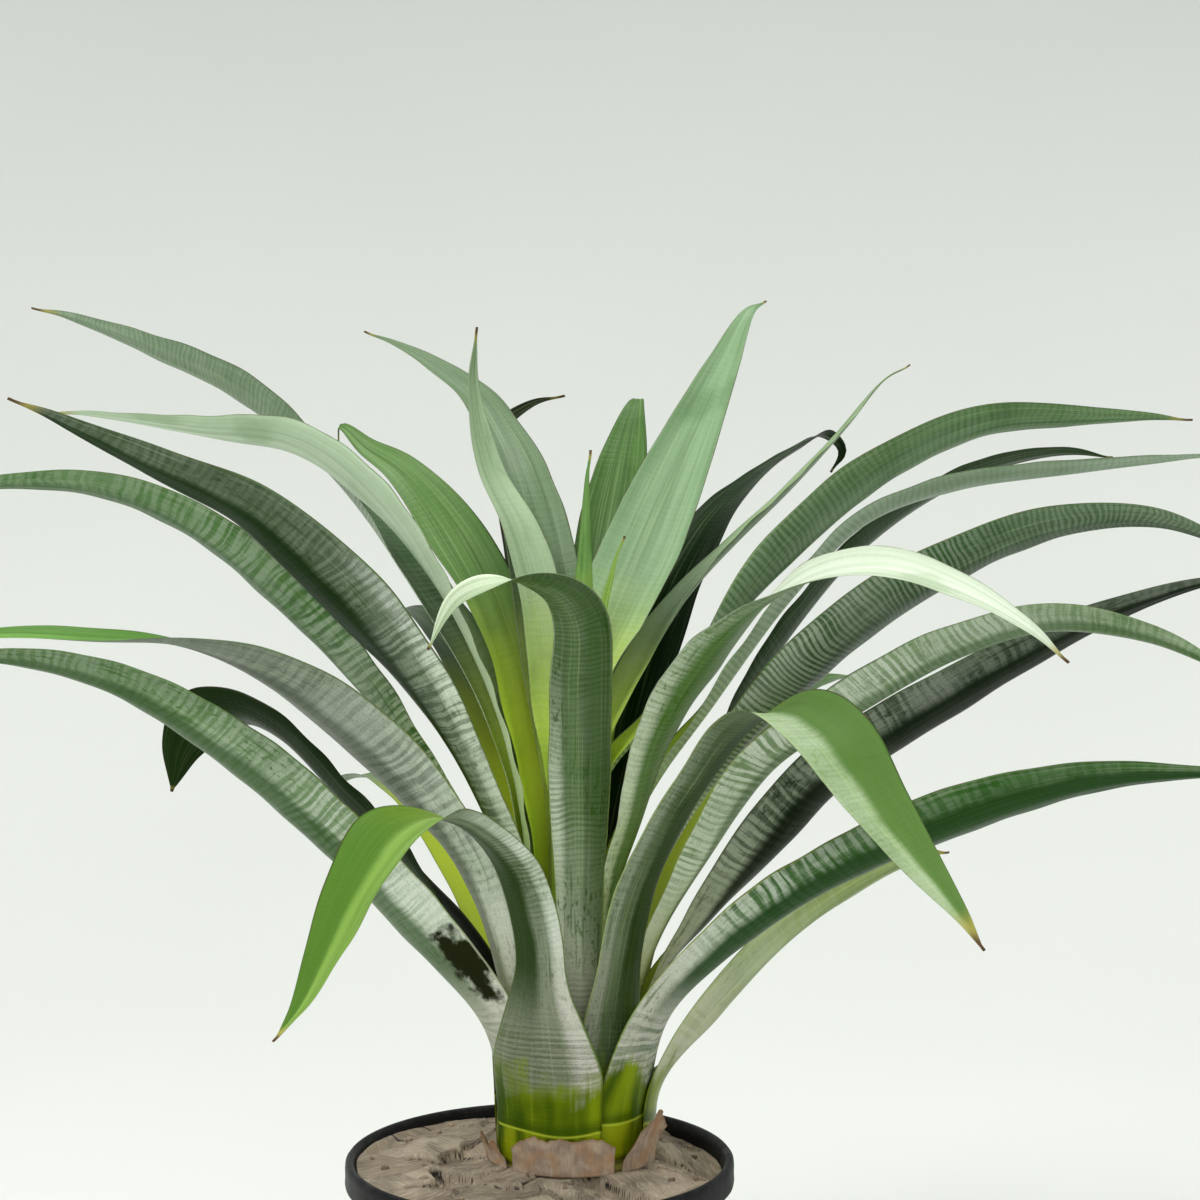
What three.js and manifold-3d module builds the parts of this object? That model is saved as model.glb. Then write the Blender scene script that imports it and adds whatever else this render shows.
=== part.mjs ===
// A young alcantarea (a large bromeliad) growing in a plain round nursery pot.
//
// Millimetres, +Z up. The origin is the centre of the pot's flat base. Azimuths turn
// counter-clockwise from +X, seen from above. Each leaf is its own closed solid: a sheath
// that clasps the stem, and a channelled blade that arches out from it.

import * as THREE from "three";
import { mergeVertices } from "three/addons/utils/BufferGeometryUtils.js";
import Module from "manifold-3d";

const wasm = await Module();
wasm.setup();

// ---------------------------------------------------------------- driving dimensions
const SEAT_GAP = 0.3; // clearance between pieces that touch

const POT_HEIGHT = 180;
const POT_RIM_RADIUS = 100;
const POT_TOP_RADIUS = 96; // outside of the wall, just under the rim
const POT_BASE_RADIUS = 74;
const POT_WALL = 2;
const POT_RIM_DEPTH = 14;
const POT_FACETS = 64;
const DRAIN_COUNT = 6;
const DRAIN_WIDTH = 16;
const DRAIN_HEIGHT = 9;
const DRAIN_DEPTH = 14;

const SOIL_EDGE_LEVEL = 171; // where the soil meets the wall
const SOIL_LEVEL = 178; // the foot of the plant, on top of the mound
const SOIL_ROUGHNESS = 1.6;

const PLANT_X = 17; // the plant stands off the middle of the pot
const PLANT_Y = 10;

const STEM_ROOT_RADIUS = 34;
const STEM_ROOT_DEPTH = 46;
const STEM_COLLAR_RADIUS = 42;
const STEM_FACETS = 48;

const OUTER_WHORL_RADIUS = 42;
const OUTER_FOOT_HEIGHT = 3; // above the soil at the outermost whorl
const STEM_SLOPE = 1.186; // rise of the stem's cone for each millimetre inwards
const WHORL_RADII = [42, 39.2, 36.4, 33.6, 30.8, 28, 25.2, 22.4, 19.6, 17.4, 15.2, 12.8, 10.2, 6.6];

const LEAF_THICKNESS = 1.8; // at the middle of the sheath; the margins are sharp
const TIP_THICKNESS = 0.7;
const TIP_WIDTH = 1.6;
const CLASP = 0.72; // a sheath spans at most this half angle of the stem, in radians
const LEAF_STATIONS = 19;
const LEAF_FACETS = 4; // across the width of a leaf
const CURVE_SAMPLES = 24;

// ---------------------------------------------------------------- leaves
// spine: [reach from the plant's axis, height above the soil, swing to the left of the
// azimuth], from the foot to the tip; the foot itself comes from the whorl.
// roll and channel: [[fraction of the length, degrees], ...].
// turn: how many degrees further round the stem the foot stands than the blade.
// narrows: millimetres from the foot over which the sheath narrows to the waist.
// widens: fractions of the length over which the waist widens to the full blade.
const CHANNEL = [[0, 45], [0.5, 38], [1, 22]];
const SOFT_CHANNEL = [[0, 45], [0.6, 30], [1, 15]];
const ROLL_RUN = 0.3; // share of the length that a blade takes to roll over

/** a blade that rolls about its spine from `start` onwards, to `middle` and then `tip` degrees */
function rolled(middle, tip = middle, start = 0.2) {
  return [[start, 0], [start + ROLL_RUN, middle], [1, tip]];
}

const LEAVES = [
  {
    name: "leaf_front_left_curled", whorl: 0, azimuth: 241, turn: 8, sheath: 66, waist: 28, width: 54,
    taper: 0.62, channel: SOFT_CHANNEL, narrows: [42, 108], widens: [0.5, 0.68],
    roll: [[0.55, 0], [0.8, 12]],
    spine: [[43.6, 30], [47, 62], [47.6, 86], [52, 120, 1], [67, 158, -2], [97, 182, -1], [130, 193],
      [162, 190], [192, 172], [218, 146], [242, 124], [260, 118]],
  },
  {
    name: "leaf_right_lowest", whorl: 0, azimuth: 12, turn: -6, width: 36, roll: rolled(-44, -44, 0.05),
    taper: 0.72, spine: [[44, 30], [57, 52], [84, 82], [122, 114], [150, 132], [177, 145], [203, 152]],
  },
  {
    name: "leaf_back_left_low", whorl: 0, azimuth: 125, width: 38,
    spine: [[46, 34], [64, 78], [100, 124], [146, 158], [196, 172], [240, 166], [272, 150]],
  },
  {
    name: "leaf_left_lowest", whorl: 1, azimuth: 196, turn: 12, waist: 38, width: 44,
    roll: rolled(40, 34, 0.04),
    spine: [[39.4, 50], [47.4, 76], [84, 124], [128, 172], [175, 214], [222, 246], [266, 262], [302, 265],
      [332, 260]],
  },
  {
    name: "leaf_right_low", whorl: 1, azimuth: 338, turn: -14, waist: 38, width: 46,
    roll: [[0.1, 0], [0.4, -30], [0.7, -40], [1, -40]],
    spine: [[41, 40], [52, 76], [82, 111], [122, 143], [170, 170], [222, 194], [270, 209], [317, 215],
      [345, 216]],
  },
  {
    name: "leaf_back_low", whorl: 1, azimuth: 86, width: 38,
    spine: [[40, 42], [58, 96], [94, 152], [144, 196], [200, 220], [254, 218], [296, 198]],
  },
  {
    name: "leaf_front_right_curled", whorl: 2, azimuth: 312, turn: -5, sheath: 48, waist: 29, width: 52,
    taper: 0.64, channel: SOFT_CHANNEL, narrows: [36, 100], widens: [0.48, 0.68],
    roll: [[0.5, 0], [0.75, 14]],
    spine: [[37.4, 50], [40, 88], [51, 132], [70, 169], [95, 204], [122, 232], [148, 243], [178, 232],
      [206, 206], [236, 180], [272, 151]],
  },
  {
    name: "leaf_left_drooping", whorl: 2, azimuth: 158, width: 42, taper: 0.84,
    roll: [[0.2, 0], [0.5, 34], [0.8, 36], [1, 74]],
    spine: [[36.4, 58], [56, 98], [96, 143], [135, 178], [172, 210], [198, 220], [218, 216], [232, 200],
      [238, 176]],
  },
  {
    name: "leaf_back_right_low", whorl: 2, azimuth: 50, width: 38,
    spine: [[37, 46], [54, 100], [92, 154], [140, 196], [196, 222], [250, 228], [290, 216]],
  },
  {
    name: "leaf_left_twisted", whorl: 3, azimuth: 208, turn: 10, width: 40, roll: rolled(36, -30),
    spine: [[34, 60], [43, 100], [64, 156], [100, 206], [152, 249], [204, 272], [250, 278], [298, 282],
      [326, 278]],
  },
  {
    name: "leaf_right_dark", whorl: 3, azimuth: 356, turn: 9, waist: 38, width: 42,
    roll: rolled(-50, -40, 0.11),
    spine: [[34.4, 64], [49, 97], [68, 120], [94, 154], [130, 196], [170, 223], [219, 253], [267, 279],
      [316, 297], [345, 301]],
  },
  {
    name: "leaf_back_left_shaded", whorl: 3, azimuth: 118, width: 40,
    spine: [[34, 60], [48, 130], [76, 190], [118, 236], [168, 262], [220, 268], [264, 252]],
  },
  {
    name: "leaf_left_banded", whorl: 4, azimuth: 189, width: 42, roll: rolled(34, 34, 0.32),
    spine: [[31, 70], [42, 140], [72, 196], [107, 243], [143, 285], [190, 325], [236, 345], [296, 347],
      [330, 339]],
  },
  {
    name: "leaf_right_arching", whorl: 4, azimuth: 344, turn: 6, waist: 32, width: 42,
    roll: [[0.12, 0], [0.42, -24], [0.65, -30], [1, -50]],
    spine: [[31, 64], [42, 108], [68, 156], [100, 204], [140, 233], [193, 265], [241, 281], [289, 276],
      [336, 255]],
  },
  {
    name: "leaf_back_hooked", whorl: 4, azimuth: 107, width: 26,
    spine: [[30, 90], [38, 180], [62, 250], [94, 300], [124, 334], [150, 360], [162, 376, -6],
      [167, 388, -24], [170, 394, -46]],
  },
  {
    name: "leaf_left_broad", whorl: 5, azimuth: 209, width: 40, roll: rolled(42, 42, 0.34),
    spine: [[28, 80], [33, 140], [55, 193], [90, 251], [128, 296], [174, 336], [222, 359], [265, 379],
      [290, 391]],
  },
  {
    name: "leaf_right_shaded", whorl: 5, azimuth: 26, waist: 26, width: 42, roll: rolled(-34),
    spine: [[28, 80], [48, 150], [84, 205], [128, 264], [178, 313], [242, 348], [295, 360], [338, 360]],
  },
  {
    name: "leaf_right_striped", whorl: 6, azimuth: 352, turn: 3, waist: 26, width: 44,
    roll: [[0.26, 0], [0.54, -40], [1, -40]], widens: [0.25, 0.45],
    spine: [[26, 80], [42, 142], [76, 200], [109, 240], [149, 277], [196, 307], [242, 326], [290, 330],
      [342, 312]],
  },
  {
    name: "leaf_left_highest", whorl: 6, azimuth: 152, width: 42, roll: rolled(50, 56, 0.45),
    spine: [[25, 90], [32, 180], [54, 237], [98, 298], [148, 350], [207, 394], [268, 419], [327, 438],
      [350, 444]],
  },
  {
    name: "leaf_front_folded", whorl: 6, azimuth: 261, turn: 18, sheath: 31, waist: 24, width: 34,
    channel: SOFT_CHANNEL,
    spine: [[26, 80], [26.8, 140], [28, 200], [34, 244], [48, 280], [64, 297, -8], [76, 302, -28],
      [84, 295, -46], [90, 270, -58]],
  },
  {
    name: "leaf_front_right_broad", whorl: 7, azimuth: 324, turn: 10, waist: 23, width: 40,
    channel: SOFT_CHANNEL, roll: [[0.2, 0], [0.5, -12], [0.72, 26], [1, 30]],
    spine: [[21.8, 90], [24, 138], [37, 178], [50, 216], [78, 256], [116, 290], [150, 307], [184, 311],
      [220, 303], [252, 289], [277, 273]],
  },
  {
    name: "leaf_back_right_dark", whorl: 7, azimuth: 56, waist: 28, width: 38, roll: rolled(-20, -20, 0.5),
    spine: [[23, 90], [31, 140], [46, 185], [70, 236], [100, 284], [140, 322], [190, 348], [232, 362],
      [264, 370], [286, 360], [272, 346]],
  },
  {
    name: "leaf_left_pale", whorl: 7, azimuth: 168, width: 40, roll: rolled(42, 20, 0.4),
    spine: [[21.5, 90], [25.5, 170], [40, 232], [66, 284], [103, 333], [147, 366], [203, 374], [255, 381],
      [290, 385]],
  },
  {
    name: "leaf_right_grey", whorl: 8, azimuth: 4, turn: 7, waist: 24, width: 34,
    roll: [[0.2, 0], [0.5, -14], [1, -34]],
    spine: [[19, 110], [22, 150], [42, 190], [72, 232], [113, 288], [152, 327], [200, 345], [255, 353],
      [310, 359], [345, 363]],
  },
  {
    name: "leaf_left_wavy", whorl: 8, azimuth: 146, waist: 26, width: 44,
    roll: [[0.4, 0], [0.58, -5], [0.78, -36], [1, -40]],
    spine: [[19.2, 100], [20.4, 160], [28.4, 203], [44, 262], [72, 312], [108, 350], [134, 364], [154, 376],
      [158, 366]],
  },
  {
    name: "leaf_back_rounded", whorl: 9, azimuth: 77, waist: 18, width: 40, taper: 0.72,
    spine: [[16.6, 110], [16.8, 168], [25.8, 206], [58, 266], [94, 320], [128, 364], [156, 390], [172, 392]],
  },
  {
    name: "leaf_right_highest", whorl: 10, azimuth: 14, waist: 20, width: 44,
    roll: [[0.3, 0], [0.6, -44], [1, -40]],
    spine: [[13.8, 110], [12.8, 170], [19.2, 199], [55, 235], [99, 291], [142, 332], [186, 361], [230, 377],
      [290, 380], [344, 381]],
  },
  {
    name: "leaf_back_left_broad", whorl: 10, azimuth: 112, waist: 24, width: 42,
    spine: [[14.6, 100], [15.6, 180], [33, 256], [51, 308], [80, 346], [112, 372], [134, 392, 6],
      [156, 411, 25], [184, 431, 54]],
  },
  {
    name: "leaf_back_left_narrow", whorl: 11, azimuth: 127, waist: 18, width: 28, roll: rolled(-6),
    spine: [[11.6, 120], [11.8, 180], [21.6, 238], [31, 288], [48, 322], [74, 352], [86, 380], [90, 405],
      [84, 428]],
  },
  {
    name: "leaf_right_edge_on", whorl: 11, azimuth: 38, waist: 18, width: 28, roll: rolled(-24, -24, 0.4),
    spine: [[11.2, 110], [10.2, 178], [18.4, 212], [36, 241], [63, 274], [82, 292], [108, 312], [150, 342],
      [192, 376], [218, 400], [238, 412]],
  },
  {
    name: "leaf_upright_tall", whorl: 12, azimuth: 54, waist: 21, width: 46, roll: rolled(24, 24, 0.35),
    spine: [[8.6, 120], [8.2, 190], [12, 228], [28.6, 266], [60, 306], [90, 346], [118, 382], [142, 412],
      [164, 438], [184, 448]],
  },
  {
    name: "leaf_heart_spike", whorl: 13, azimuth: 56, sheath: 14, waist: 14, width: 20, taper: 0.5,
    spine: [[5, 120], [6, 220], [11, 292], [14, 364]],
  },
  {
    name: "leaf_heart_young", whorl: 13, azimuth: 320, sheath: 14, waist: 14, width: 18, taper: 0.5,
    spine: [[6, 120], [8, 200], [16, 262], [32, 322]],
  },
];

const LEAF_DEFAULTS = {
  sheath: 56,
  waist: 30,
  width: 42,
  roll: [[0, 0]],
  channel: CHANNEL,
  taper: 0.58,
  turn: 0,
  narrows: [8, 80],
  widens: [0.22, 0.52],
};

const TAPER_POWER = 1.5;
const TURN_REACH = 80; // a turned foot has come round to its blade's azimuth this far out
const CLASP_END = 30; // a leaf is bent round the stem for this far from its foot
const CHANNEL_START = 150; // and follows its own channel from here on
const LEAST_REACH = 4;

const UPRIGHT = new THREE.Vector3(0, 0, 1);

// ---------------------------------------------------------------- small helpers
const radians = THREE.MathUtils.degToRad;
const lerp = THREE.MathUtils.lerp;

function smooth(from, to, x) {
  return THREE.MathUtils.smoothstep(x, from, to);
}

/** smooth value at `x` between stations [[x, value], ...] */
function atStation(stations, x) {
  for (let i = 1; i < stations.length; i += 1) {
    const [x0, v0] = stations[i - 1];
    const [x1, v1] = stations[i];
    if (x <= x1) {
      return lerp(v0, v1, smooth(x0, x1, x));
    }
  }
  return stations[stations.length - 1][1];
}

function closedGeometry(points, faces) {
  const geometry = new THREE.BufferGeometry();
  geometry.setAttribute("position", new THREE.Float32BufferAttribute(points.flat(), 3));
  geometry.setIndex(faces.flat());
  geometry.computeVertexNormals();
  return geometry;
}

function finish(colour, roughness) {
  return new THREE.MeshStandardMaterial({ color: colour, roughness, metalness: 0 });
}

function piece(name, geometry, material) {
  const mesh = new THREE.Mesh(geometry, material);
  mesh.name = name;
  return mesh;
}

// ---------------------------------------------------------------- leaf shape
/** the level direction away from the stem, for the part of a leaf at this reach */
function outwardAt(leaf, reach) {
  const footRadius = WHORL_RADII[leaf.whorl];
  const turned = leaf.turn * (1 - smooth(footRadius, footRadius + TURN_REACH, reach));
  const azimuth = radians(leaf.azimuth + turned);
  return new THREE.Vector3(Math.cos(azimuth), Math.sin(azimuth), 0);
}

/** evenly spaced points along a centripetal Catmull-Rom spine */
function spinePoints(leaf) {
  const footRadius = WHORL_RADII[leaf.whorl];
  const footHeight = OUTER_FOOT_HEIGHT + (OUTER_WHORL_RADIUS - footRadius) * STEM_SLOPE;
  const knots = [[footRadius, footHeight], ...leaf.spine].map(([reach, height, swing = 0]) => {
    const outward = outwardAt(leaf, reach);
    const left = UPRIGHT.clone().cross(outward);
    return new THREE.Vector3(0, 0, height).addScaledVector(outward, reach).addScaledVector(left, swing);
  });
  const curve = new THREE.CatmullRomCurve3(knots, false, "centripetal");
  curve.arcLengthDivisions = knots.length * CURVE_SAMPLES;
  return { points: curve.getSpacedPoints(LEAF_STATIONS - 1), length: curve.getLength() };
}

function leafWidth(leaf, fraction, length) {
  const clasping = lerp(leaf.sheath, leaf.waist, smooth(...leaf.narrows, fraction * length));
  const full = clasping + (leaf.width - leaf.waist) * smooth(...leaf.widens, fraction);
  const past = Math.max(0, (fraction - leaf.taper) / (1 - leaf.taper));
  return Math.max(TIP_WIDTH, full * (1 - past ** TAPER_POWER));
}

/** the section's own axes: across the blade, and up out of its channel */
function sectionAxes(tangent, outward, roll) {
  const across = UPRIGHT.clone().cross(outward);
  across.addScaledVector(tangent, -across.dot(tangent)).normalize();
  const up = tangent.clone().cross(across);
  const rolledAcross = across.clone().multiplyScalar(Math.cos(roll)).addScaledVector(up, Math.sin(roll));
  const rolledUp = up.multiplyScalar(Math.cos(roll)).addScaledVector(across, -Math.sin(roll));
  return { across: rolledAcross, up: rolledUp };
}

/** one closed ring of points: the upper face from margin to margin, then back underneath */
function leafRing(leaf, centre, axes, fraction, length) {
  const reach = Math.max(LEAST_REACH, Math.hypot(centre.x, centre.y));
  const width = Math.min(leafWidth(leaf, fraction, length), 2 * CLASP * reach);
  const blade = smooth(CLASP_END, CHANNEL_START, fraction * length);
  const halfAngle = lerp(width / (2 * reach), radians(atStation(leaf.channel, fraction)), blade);
  const bendRadius = width / (2 * halfAngle);
  const thickness = lerp(LEAF_THICKNESS, TIP_THICKNESS, fraction);
  const ring = [];
  for (let k = 0; k < 2 * LEAF_FACETS; k += 1) {
    const upper = k <= LEAF_FACETS;
    const u = upper ? -1 + (2 * k) / LEAF_FACETS : 1 - (2 * (k - LEAF_FACETS)) / LEAF_FACETS;
    const offset = (upper ? 0.5 : -0.5) * thickness * (1 - u * u);
    const angle = u * halfAngle;
    const sideways = bendRadius * Math.sin(angle) - offset * Math.sin(angle);
    const upwards = bendRadius * (1 - Math.cos(angle)) + offset * Math.cos(angle);
    ring.push(centre.clone().addScaledVector(axes.across, sideways).addScaledVector(axes.up, upwards));
  }
  return ring;
}

/** faces that close one end ring of a leaf */
function endFaces(first, size, forwards) {
  const faces = [];
  for (let k = 0; k < size / 2; k += 1) {
    const a = first + k;
    const b = first + k + 1;
    const c = first + ((size - k - 1) % size);
    const d = first + ((size - k) % size);
    if (b !== c) {
      faces.push([a, b, c]);
    }
    if (a !== d) {
      faces.push([a, c, d]);
    }
  }
  return forwards ? faces.map(([a, b, c]) => [a, c, b]) : faces;
}

function leafGeometry(source) {
  const leaf = { ...LEAF_DEFAULTS, ...source };
  const { points, length } = spinePoints(leaf);
  const size = 2 * LEAF_FACETS;
  const vertices = [];
  points.forEach((centre, i) => {
    const ahead = points[Math.min(i + 1, points.length - 1)];
    const behind = points[Math.max(i - 1, 0)];
    const tangent = i === 0 ? UPRIGHT.clone() : ahead.clone().sub(behind).normalize();
    const fraction = i / (points.length - 1);
    const outward = outwardAt(leaf, Math.hypot(centre.x, centre.y));
    const axes = sectionAxes(tangent, outward, radians(atStation(leaf.roll, fraction)));
    vertices.push(...leafRing(leaf, centre, axes, fraction, length).map((point) => point.toArray()));
  });
  const faces = [];
  for (let i = 0; i < points.length - 1; i += 1) {
    for (let k = 0; k < size; k += 1) {
      const a = i * size + k;
      const b = i * size + ((k + 1) % size);
      if (k < LEAF_FACETS) {
        faces.push([a, b + size, b], [a, a + size, b + size]);
      } else {
        faces.push([a, a + size, b], [b, a + size, b + size]); // split along the same line as above it
      }
    }
  }
  faces.push(...endFaces(0, size, false));
  faces.push(...endFaces((points.length - 1) * size, size, true));
  return closedGeometry(vertices, faces);
}

// ---------------------------------------------------------------- pot
const POT_FLOOR = 2.5;
const BASE_CHAMFER = 1.5;
const RIM_LIP = 1.5; // how far the rolled edge is rounded

function potWallRadius(height) {
  const share = (height - BASE_CHAMFER) / (POT_HEIGHT - POT_RIM_DEPTH - BASE_CHAMFER);
  return lerp(POT_BASE_RADIUS + BASE_CHAMFER, POT_TOP_RADIUS, share);
}

function lathe(profile, facets) {
  const points = profile.map(([radius, height]) => new THREE.Vector2(radius, height));
  const turned = new THREE.LatheGeometry(points, facets);
  turned.rotateX(Math.PI / 2);
  return solidOf(turned);
}

/** a closed mesh as an exact solid, with its shared vertices merged */
function solidOf(geometry) {
  const bare = geometry.clone();
  bare.deleteAttribute("normal");
  bare.deleteAttribute("uv");
  const merged = mergeVertices(bare, 1e-4);
  const corners = Array.from(merged.index.array);
  const triangles = [];
  for (let i = 0; i < corners.length; i += 3) {
    const [a, b, c] = corners.slice(i, i + 3);
    if (a !== b && b !== c && c !== a) {
      triangles.push(a, b, c);
    }
  }
  return new wasm.Manifold(new wasm.Mesh({
    numProp: 3,
    vertProperties: new Float32Array(merged.attributes.position.array),
    triVerts: new Uint32Array(triangles),
  }));
}

function geometryOf(solid) {
  const mesh = solid.getMesh();
  const geometry = new THREE.BufferGeometry();
  geometry.setAttribute("position", new THREE.BufferAttribute(new Float32Array(mesh.vertProperties), 3));
  geometry.setIndex(new THREE.BufferAttribute(new Uint32Array(mesh.triVerts), 1));
  geometry.computeVertexNormals();
  return geometry;
}

function potGeometry() {
  const rimUnderside = POT_HEIGHT - POT_RIM_DEPTH;
  const innerTop = POT_TOP_RADIUS - POT_WALL;
  const profile = [
    [0, 0],
    [POT_BASE_RADIUS, 0],
    [POT_BASE_RADIUS + BASE_CHAMFER, BASE_CHAMFER],
    [POT_TOP_RADIUS, rimUnderside],
    [POT_RIM_RADIUS - RIM_LIP, rimUnderside],
    [POT_RIM_RADIUS, rimUnderside + RIM_LIP],
    [POT_RIM_RADIUS, POT_HEIGHT - RIM_LIP],
    [POT_RIM_RADIUS - RIM_LIP, POT_HEIGHT],
    [POT_RIM_RADIUS - 2 * RIM_LIP, POT_HEIGHT],
    [innerTop + RIM_LIP, POT_HEIGHT - RIM_LIP],
    [innerTop, rimUnderside],
    [POT_BASE_RADIUS + BASE_CHAMFER - POT_WALL, POT_FLOOR],
    [0, POT_FLOOR],
  ];
  let pot = lathe(profile, POT_FACETS);
  for (let i = 0; i < DRAIN_COUNT; i += 1) {
    const notch = new THREE.BoxGeometry(DRAIN_DEPTH, DRAIN_WIDTH, DRAIN_HEIGHT);
    notch.translate(POT_BASE_RADIUS, 0, DRAIN_HEIGHT / 2 - POT_WALL);
    notch.rotateZ((i * 2 * Math.PI) / DRAIN_COUNT);
    pot = pot.subtract(solidOf(notch));
  }
  return geometryOf(pot);
}

// ---------------------------------------------------------------- soil
const SOIL_FACETS = 48;
const SOIL_RINGS = [0, 0.2, 0.36, 0.52, 0.68, 0.84, 1]; // shares of the way from stem to wall
const MOUND_SHOULDER = 0.2; // level this far out from the stem

/** a gentle unevenness of the soil's surface, from -1 to 1 */
function unevenness(azimuth, share) {
  const coarse = Math.sin(3 * azimuth + 5 * share) * Math.cos(2 * azimuth - 9 * share);
  const fine = Math.sin(7 * azimuth - 11 * share) * 0.5;
  return (coarse + fine) / 1.5;
}

function soilHeight(azimuth, share) {
  const fall = smooth(MOUND_SHOULDER, 1, share);
  const rough = smooth(MOUND_SHOULDER, 0.5, share) * (1 - smooth(0.8, 1, share));
  return lerp(SOIL_LEVEL, SOIL_EDGE_LEVEL, fall) + SOIL_ROUGHNESS * rough * unevenness(azimuth, share);
}

function soilGeometry() {
  const pit = STEM_ROOT_RADIUS + SEAT_GAP;
  const pitFloor = SOIL_LEVEL - STEM_ROOT_DEPTH - SEAT_GAP;
  const bottom = POT_FLOOR + SEAT_GAP;
  const bottomRadius = potWallRadius(bottom) - POT_WALL - 2 * SEAT_GAP;
  const edgeRadius = potWallRadius(SOIL_EDGE_LEVEL) - POT_WALL - 2 * SEAT_GAP;
  const level = (x, y, radius, height) => (azimuth) => [
    x + radius * Math.cos(azimuth), y + radius * Math.sin(azimuth), height,
  ];
  const surface = (share) => (azimuth) => [
    lerp(PLANT_X + pit * Math.cos(azimuth), edgeRadius * Math.cos(azimuth), share),
    lerp(PLANT_Y + pit * Math.sin(azimuth), edgeRadius * Math.sin(azimuth), share),
    soilHeight(azimuth, share),
  ];
  const rings = [
    level(0, 0, bottomRadius, bottom),
    ...[...SOIL_RINGS].reverse().map(surface),
    level(PLANT_X, PLANT_Y, pit, pitFloor),
  ];
  return ringedGeometry(rings, SOIL_FACETS, [0, 0, bottom], [PLANT_X, PLANT_Y, pitFloor]);
}

/** a closed body through rings of points, with a middle point closing each end */
function ringedGeometry(rings, facets, firstMiddle, lastMiddle) {
  const points = [firstMiddle];
  rings.forEach((ring) => {
    for (let k = 0; k < facets; k += 1) {
      points.push(ring((k * 2 * Math.PI) / facets));
    }
  });
  points.push(lastMiddle);
  const faces = [];
  for (let k = 0; k < facets; k += 1) {
    const next = (k + 1) % facets;
    faces.push([0, 1 + next, 1 + k]);
    for (let i = 0; i < rings.length - 1; i += 1) {
      const low = 1 + i * facets;
      const high = low + facets;
      faces.push([low + k, low + next, high + next], [low + k, high + next, high + k]);
    }
    const top = 1 + (rings.length - 1) * facets;
    faces.push([points.length - 1, top + k, top + next]);
  }
  return closedGeometry(points, faces);
}

// ---------------------------------------------------------------- stem
const STEM_HEAD_RADIUS = 3;
const ROOT_TAPER = 6; // the stem's cut end is this much slimmer
const ROOT_TAPER_DEPTH = 8;
const FOOT_CHORD = 0.7; // a faceted foot cuts this far inside its own arc

/** height of the stem's cone where a leaf foot at this radius stands on it, less the seat gap */
function stemConeHeight(radius) {
  const footEdge = (LEAF_THICKNESS / 2 + FOOT_CHORD) * STEM_SLOPE + SEAT_GAP;
  return OUTER_FOOT_HEIGHT + (OUTER_WHORL_RADIUS - radius) * STEM_SLOPE - footEdge;
}

function stemGeometry() {
  const profile = [
    [0, -STEM_ROOT_DEPTH],
    [STEM_ROOT_RADIUS - ROOT_TAPER, -STEM_ROOT_DEPTH],
    [STEM_ROOT_RADIUS, -STEM_ROOT_DEPTH + ROOT_TAPER_DEPTH],
    [STEM_ROOT_RADIUS, SEAT_GAP],
    [STEM_COLLAR_RADIUS, SEAT_GAP],
    [STEM_COLLAR_RADIUS, stemConeHeight(STEM_COLLAR_RADIUS)],
    [STEM_HEAD_RADIUS, stemConeHeight(STEM_HEAD_RADIUS)],
    [0, stemConeHeight(0)],
  ];
  return geometryOf(lathe(profile, STEM_FACETS));
}

// ---------------------------------------------------------------- dry sheaths
// papery remnants of shed leaves: [from azimuth, to azimuth], the height of the torn edge at
// even steps along it, and how far that edge leans out
const DRY_FOOT_RADIUS = 45;
const DRY_THICKNESS = 1.2;
const DRY_ROWS = 3;
const DRY_SHEATHS = [
  { name: "dry_sheath_front", span: [228, 298], edge: [9, 15, 18, 14, 19, 16, 20, 17, 11], lean: 2.5 },
  { name: "dry_sheath_right", span: [304, 338], edge: [13, 22, 26, 30, 20], lean: 7 },
  { name: "dry_sheath_left", span: [168, 222], edge: [6, 11, 9, 13, 10, 14, 8], lean: 3 },
  { name: "dry_sheath_back", span: [62, 122], edge: [5, 9, 12, 8, 11, 7], lean: 4 },
];

function dryGeometry({ span, edge, lean }) {
  const points = [];
  edge.forEach((height, i) => {
    const azimuth = radians(lerp(span[0], span[1], i / (edge.length - 1)));
    for (const side of [1, -1]) {
      for (let j = 0; j < DRY_ROWS; j += 1) {
        const share = j / (DRY_ROWS - 1);
        const radius = DRY_FOOT_RADIUS + lean * share * share + (side * DRY_THICKNESS) / 2;
        points.push([radius * Math.cos(azimuth), radius * Math.sin(azimuth), SEAT_GAP + height * share]);
      }
    }
  });
  const column = 2 * DRY_ROWS;
  const loop = [...Array(DRY_ROWS).keys(), ...Array.from({ length: DRY_ROWS }, (_, j) => column - 1 - j)];
  const faces = [];
  for (let i = 0; i < edge.length - 1; i += 1) {
    for (let k = 0; k < column; k += 1) {
      const a = i * column + loop[k];
      const b = i * column + loop[(k + 1) % column];
      faces.push([a, b + column, b], [a, a + column, b + column]);
    }
  }
  const last = (edge.length - 1) * column;
  for (let j = 0; j < DRY_ROWS - 1; j += 1) {
    const [a, b, c, d] = [j, j + 1, DRY_ROWS + j + 1, DRY_ROWS + j];
    faces.push([a, b, c], [a, c, d]);
    faces.push([last + a, last + c, last + b], [last + a, last + d, last + c]);
  }
  return closedGeometry(points, faces);
}

// ---------------------------------------------------------------- the whole plant in its pot
const BLACK_PLASTIC = finish(0x1a1b1c, 0.55);
const SOIL_BROWN = finish(0x6d5c4c, 0.95);
const STEM_GREEN = finish(0x6f7a22, 0.7);
const LEAF_GREEN = finish(0x7fa070, 0.55);
const HEART_GREEN = finish(0xa8c070, 0.5);
const DRY_BROWN = finish(0x9a7650, 0.9);

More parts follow.
